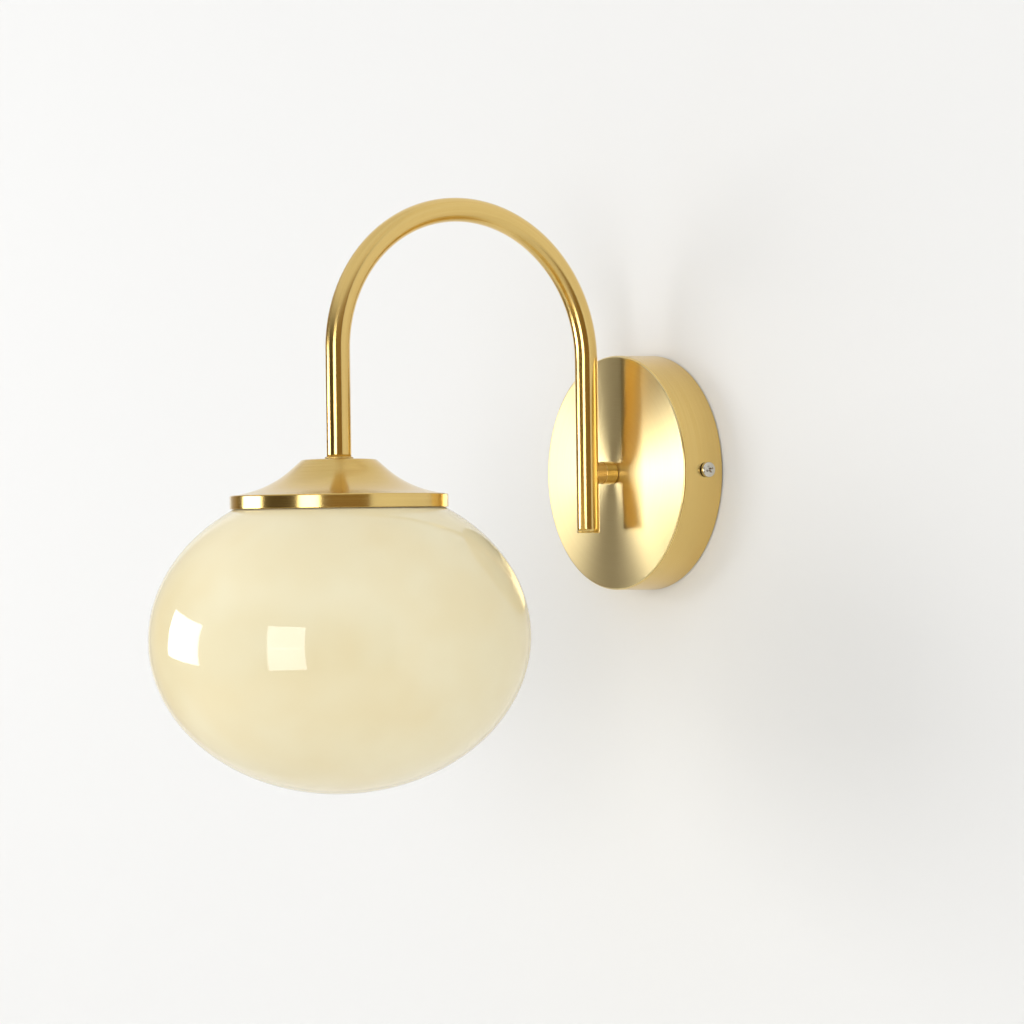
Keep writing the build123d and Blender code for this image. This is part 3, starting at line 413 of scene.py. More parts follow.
def bell_outline():
    """Flat top, rounded corner, straight shoulder, concave flare and upright band, from the frame's heights."""
    top, low = BELL_HIGH.z, BELL_LOW.z
    bell_height = 16.2 * MM
    band_r, band_top = (BELL_HIGH.x - BELL_LOW.x) / 2, top - bell_height
    wall, slope, corner_r = 0.8 * MM, math.radians(42.0), 2.2 * MM
    top_r, flare_r = 17.2 * MM, 21.8 * MM
    flare_z = top - (flare_r - top_r) * math.tan(slope)
    chord = Vector((band_r - flare_r, flare_z - band_top))
    end_slope = 2 * math.atan2(chord.y, chord.x) - slope
    radius = chord.length / (2 * math.sin((slope - end_slope) / 2))
    centre = (flare_r + radius * math.sin(slope), flare_z + radius * math.cos(slope))
    corner = (top_r - corner_r * math.tan(slope / 2), top - corner_r)
    up, steps = math.pi / 2, 28
    skin = arc(corner, corner_r, up, up - slope, CORNER_STEPS)
    skin += arc(centre, radius, -up - slope, -up - end_slope, steps)
    inner_r = band_r - wall
    inner_end = math.asin((centre[0] - inner_r) / (radius + wall))
    inner = arc(corner, corner_r - wall, up, up - slope, CORNER_STEPS)
    inner += arc(centre, radius + wall, -up - slope, -up - inner_end, steps)
    lip, round_over = 0.3 * MM, 0.7 * MM
    band = arc((band_r - round_over, band_top - round_over), round_over, up - end_slope, 0, CORNER_STEPS)
    band += [(band_r, band_top - round_over - SUPPORT), (band_r, low + lip + SUPPORT)]
    band += arc((band_r - lip, low + lip), lip, 0, -up, 4) + [(inner_r, low)]
    return [(0, top), (corner[0] - SUPPORT, top)] + skin[:-1] + band + inner[::-1] + [(0, top - wall)]


def fitter_bell():
    """The flare, with its upright band brushed like the canopy's drum."""
    # the flare takes the darker brass, which is painted shade
    piece = turned("bell", bell_outline(), on_fitter, SPUN_BELL)
    piece.data.materials.append(SPUN_DRUM)
    for face in piece.data.polygons:
        face.material_index = int(abs(face.normal.z) < 0.3)
    settle(piece, "fixture", "satin_brass", "fitter_bell")


def collar_ring():
    radius, edge = (RING_HIGH.x - RING_LOW.x) / 2, 0.35 * MM
    low, high = RING_LOW.z, RING_HIGH.z
    outline = rounded([(0, low, 0), (radius, low, edge), (radius, high, edge), (0, high, 0)])
    piece = turned("collar_ring", outline, on_fitter, SPUN_BELL)
    settle(piece, "fixture", "satin_brass", "fitter_collar_ring")


def arm_cap():
    radius, disc, edge = (PLUG_HIGH.x - PLUG_LOW.x) / 2, 1.0 * MM, 0.4 * MM
    spigot = radius - 0.75 * MM
    outline = rounded([
        (0, PLUG_LOW.z, 0), (radius, PLUG_LOW.z, edge), (radius, PLUG_LOW.z + disc, 0.1 * MM),
        (spigot, PLUG_LOW.z + disc, 0), (spigot, PLUG_HIGH.z, 0.3 * MM), (0, PLUG_HIGH.z, 0),
    ])
    settle(turned("arm_cap", outline, on_wall_leg, SPUN_BELL), "fixture", "satin_brass", "arm_end_plug")


def stem_sleeve():
    """A plain sleeve with a fine shadow groove where it meets the canopy."""
    radius, wall = (SLEEVE_HIGH.x - SLEEVE_LOW.x) / 2, 0.8 * MM
    back, front, edge, groove = -SLEEVE_HIGH.y, -SLEEVE_LOW.y, 0.3 * MM, 0.5 * MM
    outline = rounded([
        (radius - wall, back, 0), (radius - groove, back, 0), (radius - groove, back + groove, 0),
        (radius, back + groove, 0.15 * MM), (radius, front, edge), (radius - wall, front, 0),
    ])
    settle(turned("sleeve", outline, on_wall, SPUN_BELL), "fixture", "satin_brass", "stem_sleeve")


def arm_tree():
    """A round tube along two legs and the bend between them; the grain UV map runs along it and round it."""
    tree, given = new_tree("arm_tube", [
        ("Glass Foot", "NodeSocketVector"), ("Glass Corner", "NodeSocketVector"), ("Wall Corner", "NodeSocketVector"),
        ("Wall Foot", "NodeSocketVector"), ("Bend Radius", "NodeSocketFloat"), ("Tube Radius", "NodeSocketFloat"),
        ("Stations", "NodeSocketInt"),
    ])
    corners = add(tree, "GeometryNodeCurvePrimitiveQuadrilateral", {
        "Point 1": given["Glass Foot"], "Point 2": given["Glass Corner"], "Point 3": given["Wall Corner"],
        "Point 4": given["Wall Foot"]}, mode="POINTS")
    hook = add(tree, "GeometryNodeSetSplineCyclic", {"Geometry": corners, "Cyclic": False})
    bent = add(tree, "GeometryNodeFilletCurve", {"Curve": hook, "Radius": given["Bend Radius"], "Count": 90},
               mode="POLY")
    path = add(tree, "GeometryNodeResampleCurve", {"Curve": bent, "Count": given["Stations"]}, mode="COUNT")
    length = add(tree, "GeometryNodeSplineParameter").outputs["Length"]
    run = add(tree, "GeometryNodeStoreNamedAttribute", {"Geometry": path, "Name": "run", "Value": length},
              data_type="FLOAT", domain="POINT")
    ring = add(tree, "GeometryNodeCurvePrimitiveCircle", {"Resolution": 72, "Radius": given["Tube Radius"]})
    girth = add(tree, "GeometryNodeStoreNamedAttribute", {"Geometry": ring, "Name": "girth", "Value": length},
                data_type="FLOAT", domain="POINT")
    tube = add(tree, "GeometryNodeCurveToMesh", {"Curve": run, "Profile Curve": girth})
    run_value = add(tree, "GeometryNodeInputNamedAttribute", {"Name": "run"}, data_type="FLOAT")
    girth_value = add(tree, "GeometryNodeInputNamedAttribute", {"Name": "girth"}, data_type="FLOAT")
    uv = add(tree, "ShaderNodeCombineXYZ", {"X": run_value, "Y": girth_value})
    mapped = add(tree, "GeometryNodeStoreNamedAttribute", {"Geometry": tube, "Name": "grain", "Value": uv},
                 data_type="FLOAT2", domain="CORNER")
    end_tree(tree, mapped, given["Material"])
    return tree


def arm_tube():
    radius, wall = (TUBE_HIGH.x - TUBE_LOW.x) / 2, 0.7 * MM
    wall_y = (PLUG_LOW.y + PLUG_HIGH.y) / 2
    crown = TUBE_HIGH.z - radius
    bend_play = 0.01 * MM   # keeps the two bends from meeting in one point
    piece = from_nodes("arm", arm_tree(), DRAWN_TUBE, {
        "Glass Foot": (0.0, GLASS_Y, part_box("arm_outlet_bush")[0].z), "Glass Corner": (0.0, GLASS_Y, crown),
        "Wall Corner": (0.0, wall_y, crown), "Wall Foot": (0.0, wall_y, TUBE_LOW.z),
        "Bend Radius": (wall_y - GLASS_Y) / 2 - bend_play, "Tube Radius": radius, "Stations": 260,
    }, [("SOLIDIFY", {"thickness": wall, "offset": -1.0})])
    settle(piece, "fixture", "satin_brass", "arm_tube")


def globe_outline():
    """The bowl's ellipsoid, its flat shoulder and its plain neck, outside and inside."""
    half_width = (GLOBE_HIGH.x - GLOBE_LOW.x) / 2
    half_height, wall = 71.6 * MM, 2.6 * MM
    centre_z = GLOBE_LOW.z + half_height
    shoulder_z = GLOBE_HIGH.z - 2.0 * MM
    neck_r, bore_r = NECK_R, 11.42 * MM
    steps = 72

    def bowl(width, height, top_z):
        end = math.asin((top_z - centre_z) / height)
        angles = [-math.pi / 2 + (end + math.pi / 2) * i / steps for i in range(steps + 1)]
        return [(width * math.cos(a), centre_z + height * math.sin(a)) for a in angles]

    outer = bowl(half_width, half_height, shoulder_z)
    inner = bowl(half_width - wall, half_height - wall, shoulder_z - wall)
    outer[0], inner[0] = (0.0, outer[0][1]), (0.0, inner[0][1])
    fillet_r = 2.0 * MM
    neck = arc((neck_r + fillet_r, shoulder_z + fillet_r), fillet_r, -math.pi / 2, -math.pi, CORNER_STEPS)
    lip = arc((neck_r - 0.6 * MM, NECK_HIGH.z - 0.6 * MM), 0.6 * MM, 0, math.pi / 2, 4)
    lip += arc((bore_r + 0.6 * MM, NECK_HIGH.z - 0.6 * MM), 0.6 * MM, math.pi / 2, math.pi, 4)
    return outer + neck + lip + [(bore_r, shoulder_z - wall)] + inner[::-1]


def opal_globe():
    piece = turned("opal_globe", globe_outline(), on_fitter, OPAL)
    settle(piece, "globe", "opal_glass", "globe", "globe_neck")


def thread_ridge(tree, radius, turns, length, tooth):
    """The ridge of a right-handed thread, up from just above the origin: a three-sided tooth along a helix."""
    helix = add(tree, "GeometryNodeCurveSpiral", {"Resolution": 28, "Rotations": turns, "Start Radius": radius,
                                                  "End Radius": radius, "Height": length, "Reverse": True})
    lift = add(tree, "ShaderNodeCombineXYZ", {"Z": tooth})
    raised = add(tree, "GeometryNodeTransform", {"Geometry": helix, "Translation": lift})
    outline = add(tree, "GeometryNodeCurvePrimitiveCircle", {"Resolution": 3, "Radius": tooth})
    return add(tree, "GeometryNodeCurveToMesh", {"Curve": raised, "Profile Curve": outline, "Fill Caps": True})


def screw_tree():
    """Screws with a rounded pan head, a cross recess and a thread, each pointing away from one place."""
    tree, given = new_tree("pan_screws", [
        ("Head Radius", "NodeSocketFloat"), ("Top Radius", "NodeSocketFloat"), ("Head Height", "NodeSocketFloat"),
        ("Recess Radius", "NodeSocketFloat"), ("Recess Depth", "NodeSocketFloat"), ("Root Radius", "NodeSocketFloat"),
        ("Length", "NodeSocketFloat"), ("Thread Turns", "NodeSocketFloat"), ("Thread Length", "NodeSocketFloat"),
        ("Tooth", "NodeSocketFloat"), ("Turn", "NodeSocketVector"), ("Count", "NodeSocketInt"),
        ("Start", "NodeSocketVector"), ("Step", "NodeSocketVector"), ("Away From", "NodeSocketVector"),
    ])
    blank = add(tree, "GeometryNodeMeshCone", {
        "Vertices": 24, "Side Segments": 2, "Fill Segments": 3, "Radius Top": given["Top Radius"],
        "Radius Bottom": given["Head Radius"], "Depth": given["Head Height"]})
    head = add(tree, "GeometryNodeSubdivisionSurface", {"Mesh": blank, "Level": 2})
    wedge = add(tree, "GeometryNodeMeshCone", {
        "Vertices": 4, "Radius Top": given["Recess Radius"], "Radius Bottom": given["Root Radius"],
        "Depth": given["Head Height"]})
    floor_z = add(tree, "ShaderNodeMath", {0: given["Head Height"], 1: given["Recess Depth"]}, operation="SUBTRACT")
    sunk = add(tree, "ShaderNodeCombineXYZ", {"Z": floor_z})
    square = add(tree, "GeometryNodeTransform", {"Geometry": wedge, "Rotation": (0, 0, math.pi / 4)})
    arms = [add(tree, "GeometryNodeTransform", {"Geometry": square, "Translation": sunk, "Scale": scale})
            for scale in ((1.0, 0.3, 1.0), (0.3, 1.0, 1.0))]
    cut = add(tree, "GeometryNodeMeshBoolean", {"Mesh 1": head, "Mesh 2": arms}, operation="DIFFERENCE", solver="EXACT")
    rod = add(tree, "GeometryNodeMeshCone", {"Vertices": 28, "Radius Top": given["Root Radius"],
                                             "Radius Bottom": given["Root Radius"], "Depth": given["Length"]})
    ridge = thread_ridge(tree, given["Root Radius"], given["Thread Turns"], given["Thread Length"], given["Tooth"])
    shank = add(tree, "GeometryNodeJoinGeometry", {"Geometry": [rod, ridge]})
    down = add(tree, "GeometryNodeTransform", {"Geometry": shank, "Rotation": (math.pi, 0, 0)})
    whole = add(tree, "GeometryNodeJoinGeometry", {"Geometry": [cut, down]})
    driven = add(tree, "GeometryNodeTransform", {"Geometry": whole, "Rotation": given["Turn"]})
    row = add(tree, "GeometryNodeMeshLine", {"Count": given["Count"], "Start Location": given["Start"],
                                             "Offset": given["Step"]})
    place = add(tree, "GeometryNodeInputPosition")
    aim = add(tree, "ShaderNodeVectorMath", {0: place, 1: given["Away From"]}, operation="SUBTRACT")
    facing = add(tree, "FunctionNodeAlignRotationToVector", {"Vector": aim}, axis="Z")
    placed = add(tree, "GeometryNodeInstanceOnPoints", {"Points": row, "Instance": driven, "Rotation": facing})
    end_tree(tree, placed, given["Material"])
    return tree


def screw_sizes(length, turn, radius, head_radius, head_height, pitch):
    """A screw's inputs from its sizes in metres and the recess's turn in degrees."""
    threaded = length - 0.8 * pitch
    return {
        "Head Radius": head_radius, "Top Radius": 0.94 * head_radius, "Head Height": head_height,
        "Recess Radius": 0.98 * head_radius, "Recess Depth": 0.62 * head_height, "Root Radius": radius - 0.4 * pitch,
        "Length": length, "Thread Turns": threaded / pitch, "Thread Length": threaded, "Tooth": 0.4 * pitch,
        "Turn": (0, 0, math.radians(turn)),
    }


def screws():
    tree = screw_tree()
    m4 = dict(radius=2.0 * MM, head_radius=3.9 * MM, head_height=2.4 * MM, pitch=0.7 * MM)
    m3 = dict(radius=1.5 * MM, head_radius=2.6 * MM, head_height=1.8 * MM, pitch=0.5 * MM)
    low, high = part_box("side_screws")
    seat, middle = high.x - m4["head_height"], (low + high) / 2
    pair = dict(screw_sizes(8.0 * MM, 25, **m4), Count=2, Start=(-seat, middle.y, middle.z), Step=(2 * seat, 0, 0))
    pair["Away From"] = (0, middle.y, middle.z)
    settle(from_nodes("side_screw_pair", tree, NODE_MATERIALS["nickel"], pair), "fixture", "nickel", "side_screws")
    for name, node, size, turn in (("earth_screw_cross", "earth_screw", m4, 15),
                                   ("fixing_screw_cross", "terminal_fixing_screw", m3, 50)):
        low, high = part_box(node)
        x, y, z = (low.x + high.x) / 2, low.y + size["head_height"], (low.z + high.z) / 2
        single = dict(screw_sizes(high.y - y, turn, **size), Count=1, Start=(x, y, z))
        single["Away From"] = (x, 0.1, z)
        settle(from_nodes(name, tree, NODE_MATERIALS["zinc_steel"], single), "fixture", "zinc_steel", node)


def nipple_tree():
    """A threaded tube that stands on its start and points along its aim."""
    tree, given = new_tree("threaded_nipple", [
        ("Wall Radius", "NodeSocketFloat"), ("Wall", "NodeSocketFloat"), ("Length", "NodeSocketFloat"),
        ("Root Radius", "NodeSocketFloat"), ("Thread Turns", "NodeSocketFloat"), ("Thread Length", "NodeSocketFloat"),
        ("Tooth", "NodeSocketFloat"), ("Start", "NodeSocketVector"), ("Aim", "NodeSocketVector"),
    ])
    round_path = add(tree, "GeometryNodeCurvePrimitiveCircle", {"Resolution": 48, "Radius": given["Wall Radius"]})
    section = add(tree, "GeometryNodeCurvePrimitiveQuadrilateral", {"Width": given["Wall"], "Height": given["Length"]})
    tube = add(tree, "GeometryNodeCurveToMesh", {"Curve": round_path, "Profile Curve": section})
    half = add(tree, "ShaderNodeMath", {0: given["Length"], 1: 0.5}, operation="MULTIPLY")
    lift = add(tree, "ShaderNodeCombineXYZ", {"Z": half})
    raised = add(tree, "GeometryNodeTransform", {"Geometry": tube, "Translation": lift})
    ridge = thread_ridge(tree, given["Root Radius"], given["Thread Turns"], given["Thread Length"], given["Tooth"])
    both = add(tree, "GeometryNodeJoinGeometry", {"Geometry": [raised, ridge]})
    facing = add(tree, "FunctionNodeAlignRotationToVector", {"Vector": given["Aim"]}, axis="Z")
    point = add(tree, "GeometryNodePoints", {"Count": 1, "Position": given["Start"]})
    placed = add(tree, "GeometryNodeInstanceOnPoints", {"Points": point, "Instance": both, "Rotation": facing})
    end_tree(tree, placed, given["Material"])
    return tree


def nipples():
    """M8 nipples: the stem's points at the wall, the fitter's points up."""
    tree, pitch, wall, outer = nipple_tree(), 1.0 * MM, 0.8 * MM, 4.0 * MM
    for node, aim in (("stem_nipple", Vector((0, 1, 0))), ("fitter_nipple", Vector((0, 0, 1)))):
        low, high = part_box(node)
        length = (high - low).dot(aim)
        threaded = length - 0.8 * pitch
        piece = from_nodes(node + "_thread", tree, NODE_MATERIALS["zinc_steel"], {
            "Wall Radius": outer - 0.4 * pitch - wall / 2, "Wall": wall, "Length": length,
            "Root Radius": outer - 0.4 * pitch, "Thread Turns": threaded / pitch, "Thread Length": threaded,
            "Tooth": 0.4 * pitch, "Start": tuple((low + high) / 2 - aim * length / 2), "Aim": tuple(aim),
        })
        settle(piece, "fixture", "zinc_steel", node)


def rib_tree():
    """A rounded glass rib along a helix."""
    tree, given = new_tree("neck_rib", [
        ("Neck Radius", "NodeSocketFloat"), ("Climb", "NodeSocketFloat"), ("Turns", "NodeSocketFloat"),
        ("Rib Radius", "NodeSocketFloat"), ("Start", "NodeSocketVector"), ("First Turn", "NodeSocketVector"),
    ])
    helix = add(tree, "GeometryNodeCurveSpiral", {
        "Resolution": 72, "Rotations": given["Turns"], "Start Radius": given["Neck Radius"],
        "End Radius": given["Neck Radius"], "Height": given["Climb"], "Reverse": True})
    placed = add(tree, "GeometryNodeTransform", {"Geometry": helix, "Translation": given["Start"],
                                                 "Rotation": given["First Turn"]})
    outline = add(tree, "GeometryNodeCurvePrimitiveCircle", {"Resolution": 20, "Radius": given["Rib Radius"]})
    rib = add(tree, "GeometryNodeCurveToMesh", {"Curve": placed, "Profile Curve": outline, "Fill Caps": True})
    end_tree(tree, rib, given["Material"])
    return tree


def neck_rib():
    piece = from_nodes("neck_rib", rib_tree(), OPAL, {
        "Neck Radius": NECK_R + 0.25 * MM, "Climb": 5.0 * MM, "Turns": 1.25, "Rib Radius": 0.85 * MM,
        "Start": (0.0, GLASS_Y, NECK_HIGH.z - 6.55 * MM), "First Turn": (0, 0, math.radians(30)),
    })
    settle(piece, "globe", "opal_glass")


def chip_tree():
    """Small upright prisms in rows on both faces of the board."""
    tree, given = new_tree("light_chips", [
        ("Sides", "NodeSocketInt"), ("Radius", "NodeSocketFloat"), ("Thickness", "NodeSocketFloat"),
        ("Stretch", "NodeSocketVector"), ("Columns", "NodeSocketInt"), ("Rows", "NodeSocketInt"),
        ("Width", "NodeSocketFloat"), ("Height", "NodeSocketFloat"), ("Front", "NodeSocketVector"),
        ("Back", "NodeSocketVector"),
    ])
    prism = add(tree, "GeometryNodeMeshCone", {"Vertices": given["Sides"], "Radius Top": given["Radius"],
                                               "Radius Bottom": given["Radius"], "Depth": given["Thickness"]})
    square = add(tree, "GeometryNodeTransform", {"Geometry": prism, "Rotation": (0, 0, math.pi / 4)})
    chip = add(tree, "GeometryNodeTransform", {"Geometry": square, "Scale": given["Stretch"]})
    spots = add(tree, "GeometryNodeMeshGrid", {"Size X": given["Width"], "Size Y": given["Height"],
                                               "Vertices X": given["Columns"], "Vertices Y": given["Rows"]})
    rows = add(tree, "GeometryNodeInstanceOnPoints", {"Points": spots, "Instance": chip})
    sides = [add(tree, "GeometryNodeTransform", {"Geometry": rows, "Translation": given[face],
                                                 "Rotation": (turn, 0, 0)})
             for face, turn in (("Front", math.pi / 2), ("Back", -math.pi / 2))]
    end_tree(tree, add(tree, "GeometryNodeJoinGeometry", {"Geometry": sides}), given["Material"])
    return tree


def light_chips():
    """White chip frames with a yellow window on each."""
    low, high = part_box("bulb_led_board")
    centre, tree = (low + high) / 2, chip_tree()
    phosphor = speckled("phosphor_gel", "#E8C83C", "#F0D55C", 0.5, 0.5)
    for name, finish, sides, radius, thickness, lift in (
        ("chip_frames", NODE_MATERIALS["led_board"], 4, 1.15 * MM, 0.4 * MM, 0.0),
        ("chip_windows", phosphor, 24, 0.6 * MM, 0.1 * MM, 0.38 * MM),
    ):
        front, back = Vector((centre.x, low.y - lift, centre.z)), Vector((centre.x, high.y + lift, centre.z))
        piece = from_nodes(name, tree, finish, {
            "Sides": sides, "Radius": radius, "Thickness": thickness, "Stretch": (1.0, 1.5, 1.0), "Columns": 2,
            "Rows": 9, "Width": 3.2 * MM, "Height": 27.0 * MM, "Front": tuple(front), "Back": tuple(back),
        })
        settle(piece, "bulb", "led_board")


def softened(node, edge):
    """A node's own shape with its sharp edges broken, as stamping, moulding or pressing leaves them."""
    entry = next(e for e in frame["record"]["subparts"] if e["node"] == node)
    bm = bmesh.new()
    bm.from_mesh(frame["nodes"][node].data)
    bmesh.ops.remove_doubles(bm, verts=bm.verts, dist=1e-6)
    bmesh.ops.dissolve_limit(bm, angle_limit=math.radians(1.0), verts=bm.verts, edges=bm.edges)
    source = finish_mesh(node + "_source", bm, NODE_MATERIALS[entry["material_slot"]])
    if "custom_normal" in source.data.attributes:
        source.data.attributes.remove(source.data.attributes["custom_normal"])
    bevel = source.modifiers.new("edges", "BEVEL")
    bevel.width, bevel.segments = edge * MM, 2
    bevel.limit_method, bevel.angle_limit = "ANGLE", math.radians(40)
    bevel.harden_normals = True
    settle(plain_copy(node + "_soft", source), "fixture", entry["material_slot"], node)


SOFT_EDGES = {
    "wall_bracket": 0.3, "terminal_body": 0.3, "terminal_screws": 0.12, "earth_lug": 0.15, "stem_lock_nut": 0.3,
    "stem_lock_washer": 0.1, "fitter_lock_nut": 0.3, "fitter_lock_washer": 0.1, "globe_gallery": 0.2,
    "lampholder_body": 0.3, "lampholder_bracket": 0.15, "stem_boss": 0.35,
}

dress_nodes()
canopy_shell()
fitter_bell()
collar_ring()
arm_cap()
stem_sleeve()
arm_tube()
opal_globe()
screws()
nipples()
neck_rib()
light_chips()
for node, edge in SOFT_EDGES.items():
    softened(node, edge)


# Stage: white wall, pale floor, soft boxes and a dim room that only reflections see

WALL_BEHIND = 0.4 * MM
WALL_HOLE_R = 0.055        # under the canopy, so that light reaches the lamp's back
STAGE_HALF = 4.0
FADE_START, FADE_END = 1.6, 3.8     # from the lamp's origin
FLOOR_Z = -1.2


def faded(tree, surface):
    """The surface near the lamp; further away it fades into the surround, so that no edge shows."""
    where = add(tree, "ShaderNodeTexCoord").outputs["Object"]
    reach = add(tree, "ShaderNodeVectorMath", {0: where}, operation="LENGTH").outputs["Value"]
    fade = add(tree, "ShaderNodeMapRange", {"Value": reach, "From Min": FADE_START, "From Max": FADE_END},
               interpolation_type="SMOOTHSTEP")
    clear = add(tree, "ShaderNodeBsdfTransparent")
    mixed = add(tree, "ShaderNodeMixShader", {"Fac": fade, 1: surface, 2: clear})
    tree.links.new(mixed.outputs["Shader"], tree.nodes["Material Output"].inputs["Surface"])


def wall_paint():
    """Matt white emulsion, seen from the room only."""
    material, tree, shader = new_material("wall_emulsion")
    shader.inputs["Base Color"].default_value = linear("#ECECEB")
    shader.inputs["Roughness"].default_value = 0.9
    shader.inputs["Specular IOR Level"].default_value = 0.1
    side = add(tree, "ShaderNodeNewGeometry")
    clear = add(tree, "ShaderNodeBsdfTransparent")
    faded(tree, add(tree, "ShaderNodeMixShader", {"Fac": side.outputs["Backfacing"], 1: shader, 2: clear}))
    return material


def stage_mesh(name, verts, faces, material):
    mesh = bpy.data.meshes.new(name)
    mesh.from_pydata(verts, [], faces)
    mesh.materials.append(material)
    thing = bpy.data.objects.new(name, mesh)
    bpy.context.scene.collection.objects.link(thing)
    return thing


def wall():
    """A wall with a round hole behind the canopy, facing the room."""
    count = 64
    verts, faces = [], []
    for k in range(count):
        angle = 2 * math.pi * k / count
        x, z = math.cos(angle), math.sin(angle)
        reach = STAGE_HALF / max(abs(x), abs(z))
        verts += [(WALL_HOLE_R * x, WALL_BEHIND, WALL_HOLE_R * z), (reach * x, WALL_BEHIND, max(reach * z, FLOOR_Z))]
    for k in range(count):
        a, b = 2 * k, 2 * ((k + 1) % count)
        faces.append((a, b, b + 1, a + 1))
    piece = stage_mesh("wall", verts, faces, wall_paint())
    if piece.data.polygons[0].normal.y > 0:
        piece.data.flip_normals()


def shown_rays(tree):
    """1 for rays of the camera, of a reflection or of glass, which see the pale background; 0 for light."""
    path = add(tree, "ShaderNodeLightPath").outputs
    either = add(tree, "ShaderNodeMath", {0: path["Is Camera Ray"], 1: path["Is Glossy Ray"]}, operation="MAXIMUM")
    return add(tree, "ShaderNodeMath", {0: either, 1: path["Is Transmission Ray"]}, operation="MAXIMUM")


def floor_paint():
    """Matt pale floor, half of it plain colour to the eye."""
    material, tree, shader = new_material("floor_pale")
    shader.inputs["Base Color"].default_value = linear("#E2E0DC")
    shader.inputs["Roughness"].default_value = 0.85
    glow = add(tree, "ShaderNodeEmission", {"Color": linear("#DFDEDA"), "Strength": 1.0})
    share = add(tree, "ShaderNodeMapRange", {"Value": shown_rays(tree), "To Max": 0.5})
    faded(tree, add(tree, "ShaderNodeMixShader", {"Fac": share, 1: shader, 2: glow}))
    return material


def floor():
    h = STAGE_HALF
    stage_mesh("floor", [(-h, -h, FLOOR_Z), (h, -h, FLOOR_Z), (h, h, FLOOR_Z), (-h, h, FLOOR_Z)], [(0, 1, 2, 3)],
               floor_paint())


def bearing(azimuth, elevation, distance):
    """A point at a bearing from the globe; azimuth 0 is straight out from the wall, positive to the right."""
    a, e = math.radians(azimuth), math.radians(elevation)
    aim = Vector((0, GLASS_Y, (GLOBE_LOW.z + GLOBE_HIGH.z) / 2))
    return aim, aim + Vector((math.sin(a) * math.cos(e), -math.cos(a) * math.cos(e), math.sin(e))) * distance


def soft_box(name, azimuth, elevation, span, rise, glow, distance, lights, shines, roll=0, yaw=0):
    """A soft box that covers a span and a rise in degrees, seen from the globe; it lights the scene, shows in
    reflections, or both. Roll tips it sideways, yaw brings its right end nearer."""
    aim, place = bearing(azimuth, elevation, distance)
    light = bpy.data.lights.new(name, "AREA")
    light.shape = "RECTANGLE"
    light.size = 2 * distance * math.tan(math.radians(span / 2))
    light.size_y = 2 * distance * math.tan(math.radians(rise / 2))
    light.energy = glow * math.pi * light.size * light.size_y
    lamp = bpy.data.objects.new(name, light)
    facing = (aim - place).to_track_quat("-Z", "Y").to_matrix()
    tipped = facing @ Matrix.Rotation(math.radians(roll), 3, "Z") @ Matrix.Rotation(math.radians(yaw), 3, "Y")
    lamp.matrix_world = Matrix.Translation(place) @ tipped.to_4x4()
    lamp.visible_camera = False
    lamp.visible_diffuse, lamp.visible_glossy = lights, shines
    bpy.context.scene.collection.objects.link(lamp)


def blend(low, high, value):
    """0 below the low value, 1 above the high one, smooth between."""
    share = min(max((value - low) / (high - low), 0), 1)
    return share * share * (3 - 2 * share)


def room_shade(azimuth, elevation):
    """The dim room in front of the lamp, as reflections see it: it fades into the pale surround at its borders."""
    pale, left, middle, right = (Vector(linear(c)[:3]) for c in ("#EDEDED", "#8C7034", "#4C4028", "#8A7040"))
    # All limits are degrees of bearing
    shade = left.lerp(middle, blend(-74, -60, azimuth)).lerp(right, blend(38, 56, azimuth))
    sides = blend(-120, -62, azimuth) * (1 - blend(98, 118, azimuth))
    heights = blend(-60, -22, elevation) * (1 - blend(12, 40, elevation))
    return pale.lerp(shade, sides * heights)


def dim_room(distance=3.4, across=72, up=30):
    """A curved screen in front of the lamp that only reflections see."""
    card, tree, shader = new_material("dim_room")
    paint = add(tree, "ShaderNodeVertexColor", layer_name="shade")
    shader.inputs["Base Color"].default_value = linear("#000000")
    shader.inputs["Specular IOR Level"].default_value = 0.0
    shader.inputs["Emission Strength"].default_value = 1.0
    tree.links.new(paint.outputs["Color"], shader.inputs["Emission Color"])
    first_azimuth, turn, lowest, climb = -128, 250, -62, 126    # degrees
    verts, shades = [], []
    for row in range(up + 1):
        for column in range(across + 1):
            azimuth, elevation = first_azimuth + turn * column / across, lowest + climb * row / up
            verts.append(bearing(azimuth, elevation, distance)[1])
            shades += [*room_shade(azimuth, elevation), 1.0]
    width = across + 1
    faces = [(r * width + c, r * width + c + 1, (r + 1) * width + c + 1, (r + 1) * width + c)
             for r in range(up) for c in range(across)]
    screen = stage_mesh("dim_room", verts, faces, card)
    screen.data.color_attributes.new("shade", "FLOAT_COLOR", "POINT").data.foreach_set("color", shades)
    screen.visible_camera = screen.visible_diffuse = screen.visible_shadow = False


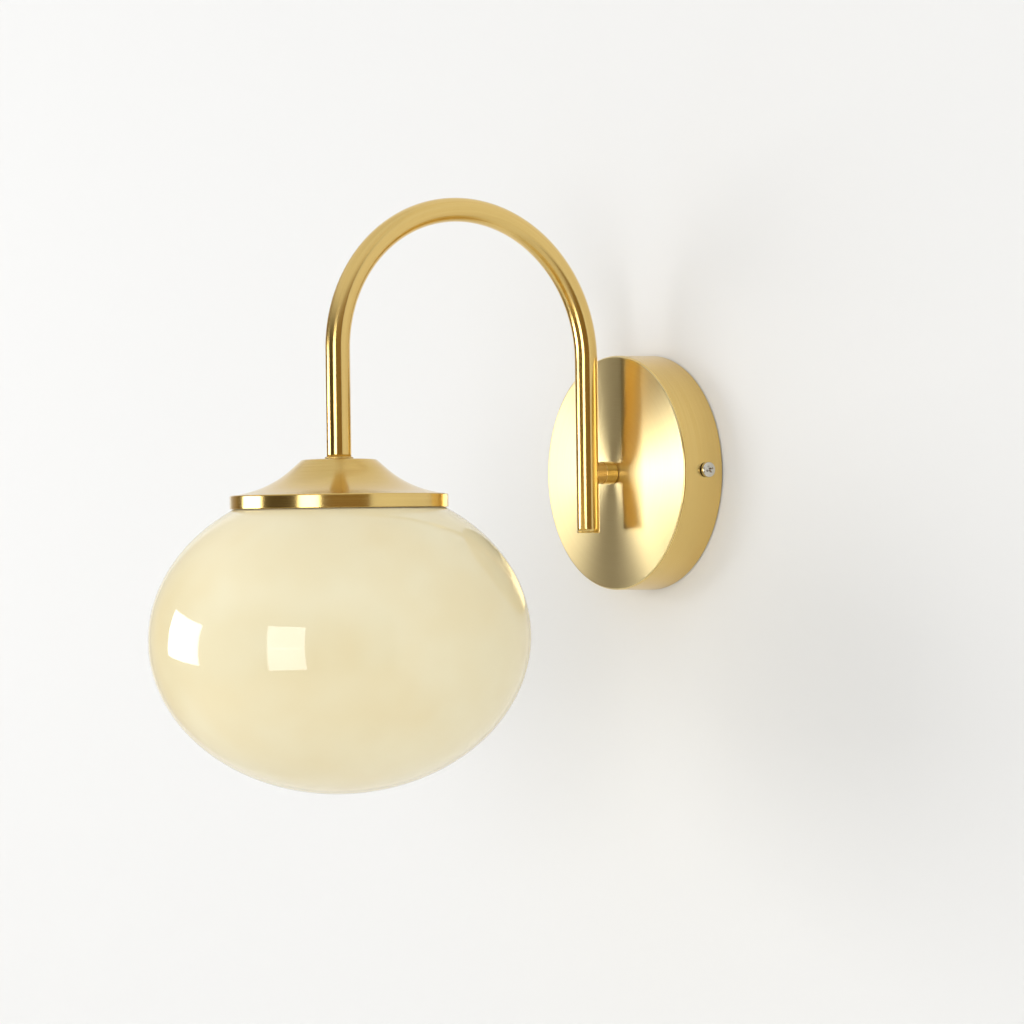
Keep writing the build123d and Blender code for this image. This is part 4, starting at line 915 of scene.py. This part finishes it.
def world(ambient, seen):
    """Even soft light, and a pale surround for the camera and for reflections."""
    sky = bpy.data.worlds.new("studio")
    sky.use_nodes = True
    tree = sky.node_tree
    strength = add(tree, "ShaderNodeMapRange", {"Value": shown_rays(tree), "To Min": ambient, "To Max": seen})
    tree.links.new(strength.outputs["Result"], tree.nodes["Background"].inputs["Strength"])
    tree.nodes["Background"].inputs["Color"].default_value = linear("#FFFFFF")
    bpy.context.scene.world = sky


def camera():
    right = Vector((math.cos(CAMERA_AZIMUTH), math.sin(CAMERA_AZIMUTH), 0))
    up = Vector((0, 0, 1))
    back = right.cross(up)
    place = back * CAMERA_DISTANCE + right * CAMERA_SIDE + up * CAMERA_RISE
    forward = -back * math.cos(CAMERA_PITCH) + up * math.sin(CAMERA_PITCH)
    lift = right.cross(forward)
    across = right * math.cos(CAMERA_ROLL) + lift * math.sin(CAMERA_ROLL)
    lift = lift * math.cos(CAMERA_ROLL) - right * math.sin(CAMERA_ROLL)
    data = bpy.data.cameras.new("camera")
    data.lens, data.sensor_width = CAMERA_LENS, CAMERA_SENSOR
    data.clip_start, data.clip_end = 0.01, 50
    thing = bpy.data.objects.new("camera", data)
    thing.matrix_world = Matrix.Translation(place) @ Matrix((across, lift, -forward)).transposed().to_4x4()
    bpy.context.scene.collection.objects.link(thing)
    bpy.context.scene.camera = thing


wall()
floor()
# Keys light the scene; panels are the soft boxes that reflections show
soft_box("key_left", azimuth=-43, elevation=6, span=37, rise=26, glow=3.0, distance=3.0, lights=True, shines=False)
soft_box("key_front", azimuth=31, elevation=3, span=26, rise=34, glow=2.4, distance=3.0, lights=True, shines=False)
soft_box("panel_left", azimuth=-41.4, elevation=1.1, span=31.7, rise=22.5, glow=7.0, distance=1.0, lights=False,
         shines=True, roll=-8, yaw=20)
for height, elevation in (("low", -10.5), ("high", 6.5)):
    soft_box("panel_front_" + height, azimuth=31, elevation=elevation, span=22, rise=17.6, glow=5.0, distance=2.0,
             lights=False, shines=True)
dim_room()
world(ambient=0.74, seen=0.82)
camera()
bpy.context.scene.view_settings.view_transform = "Standard"
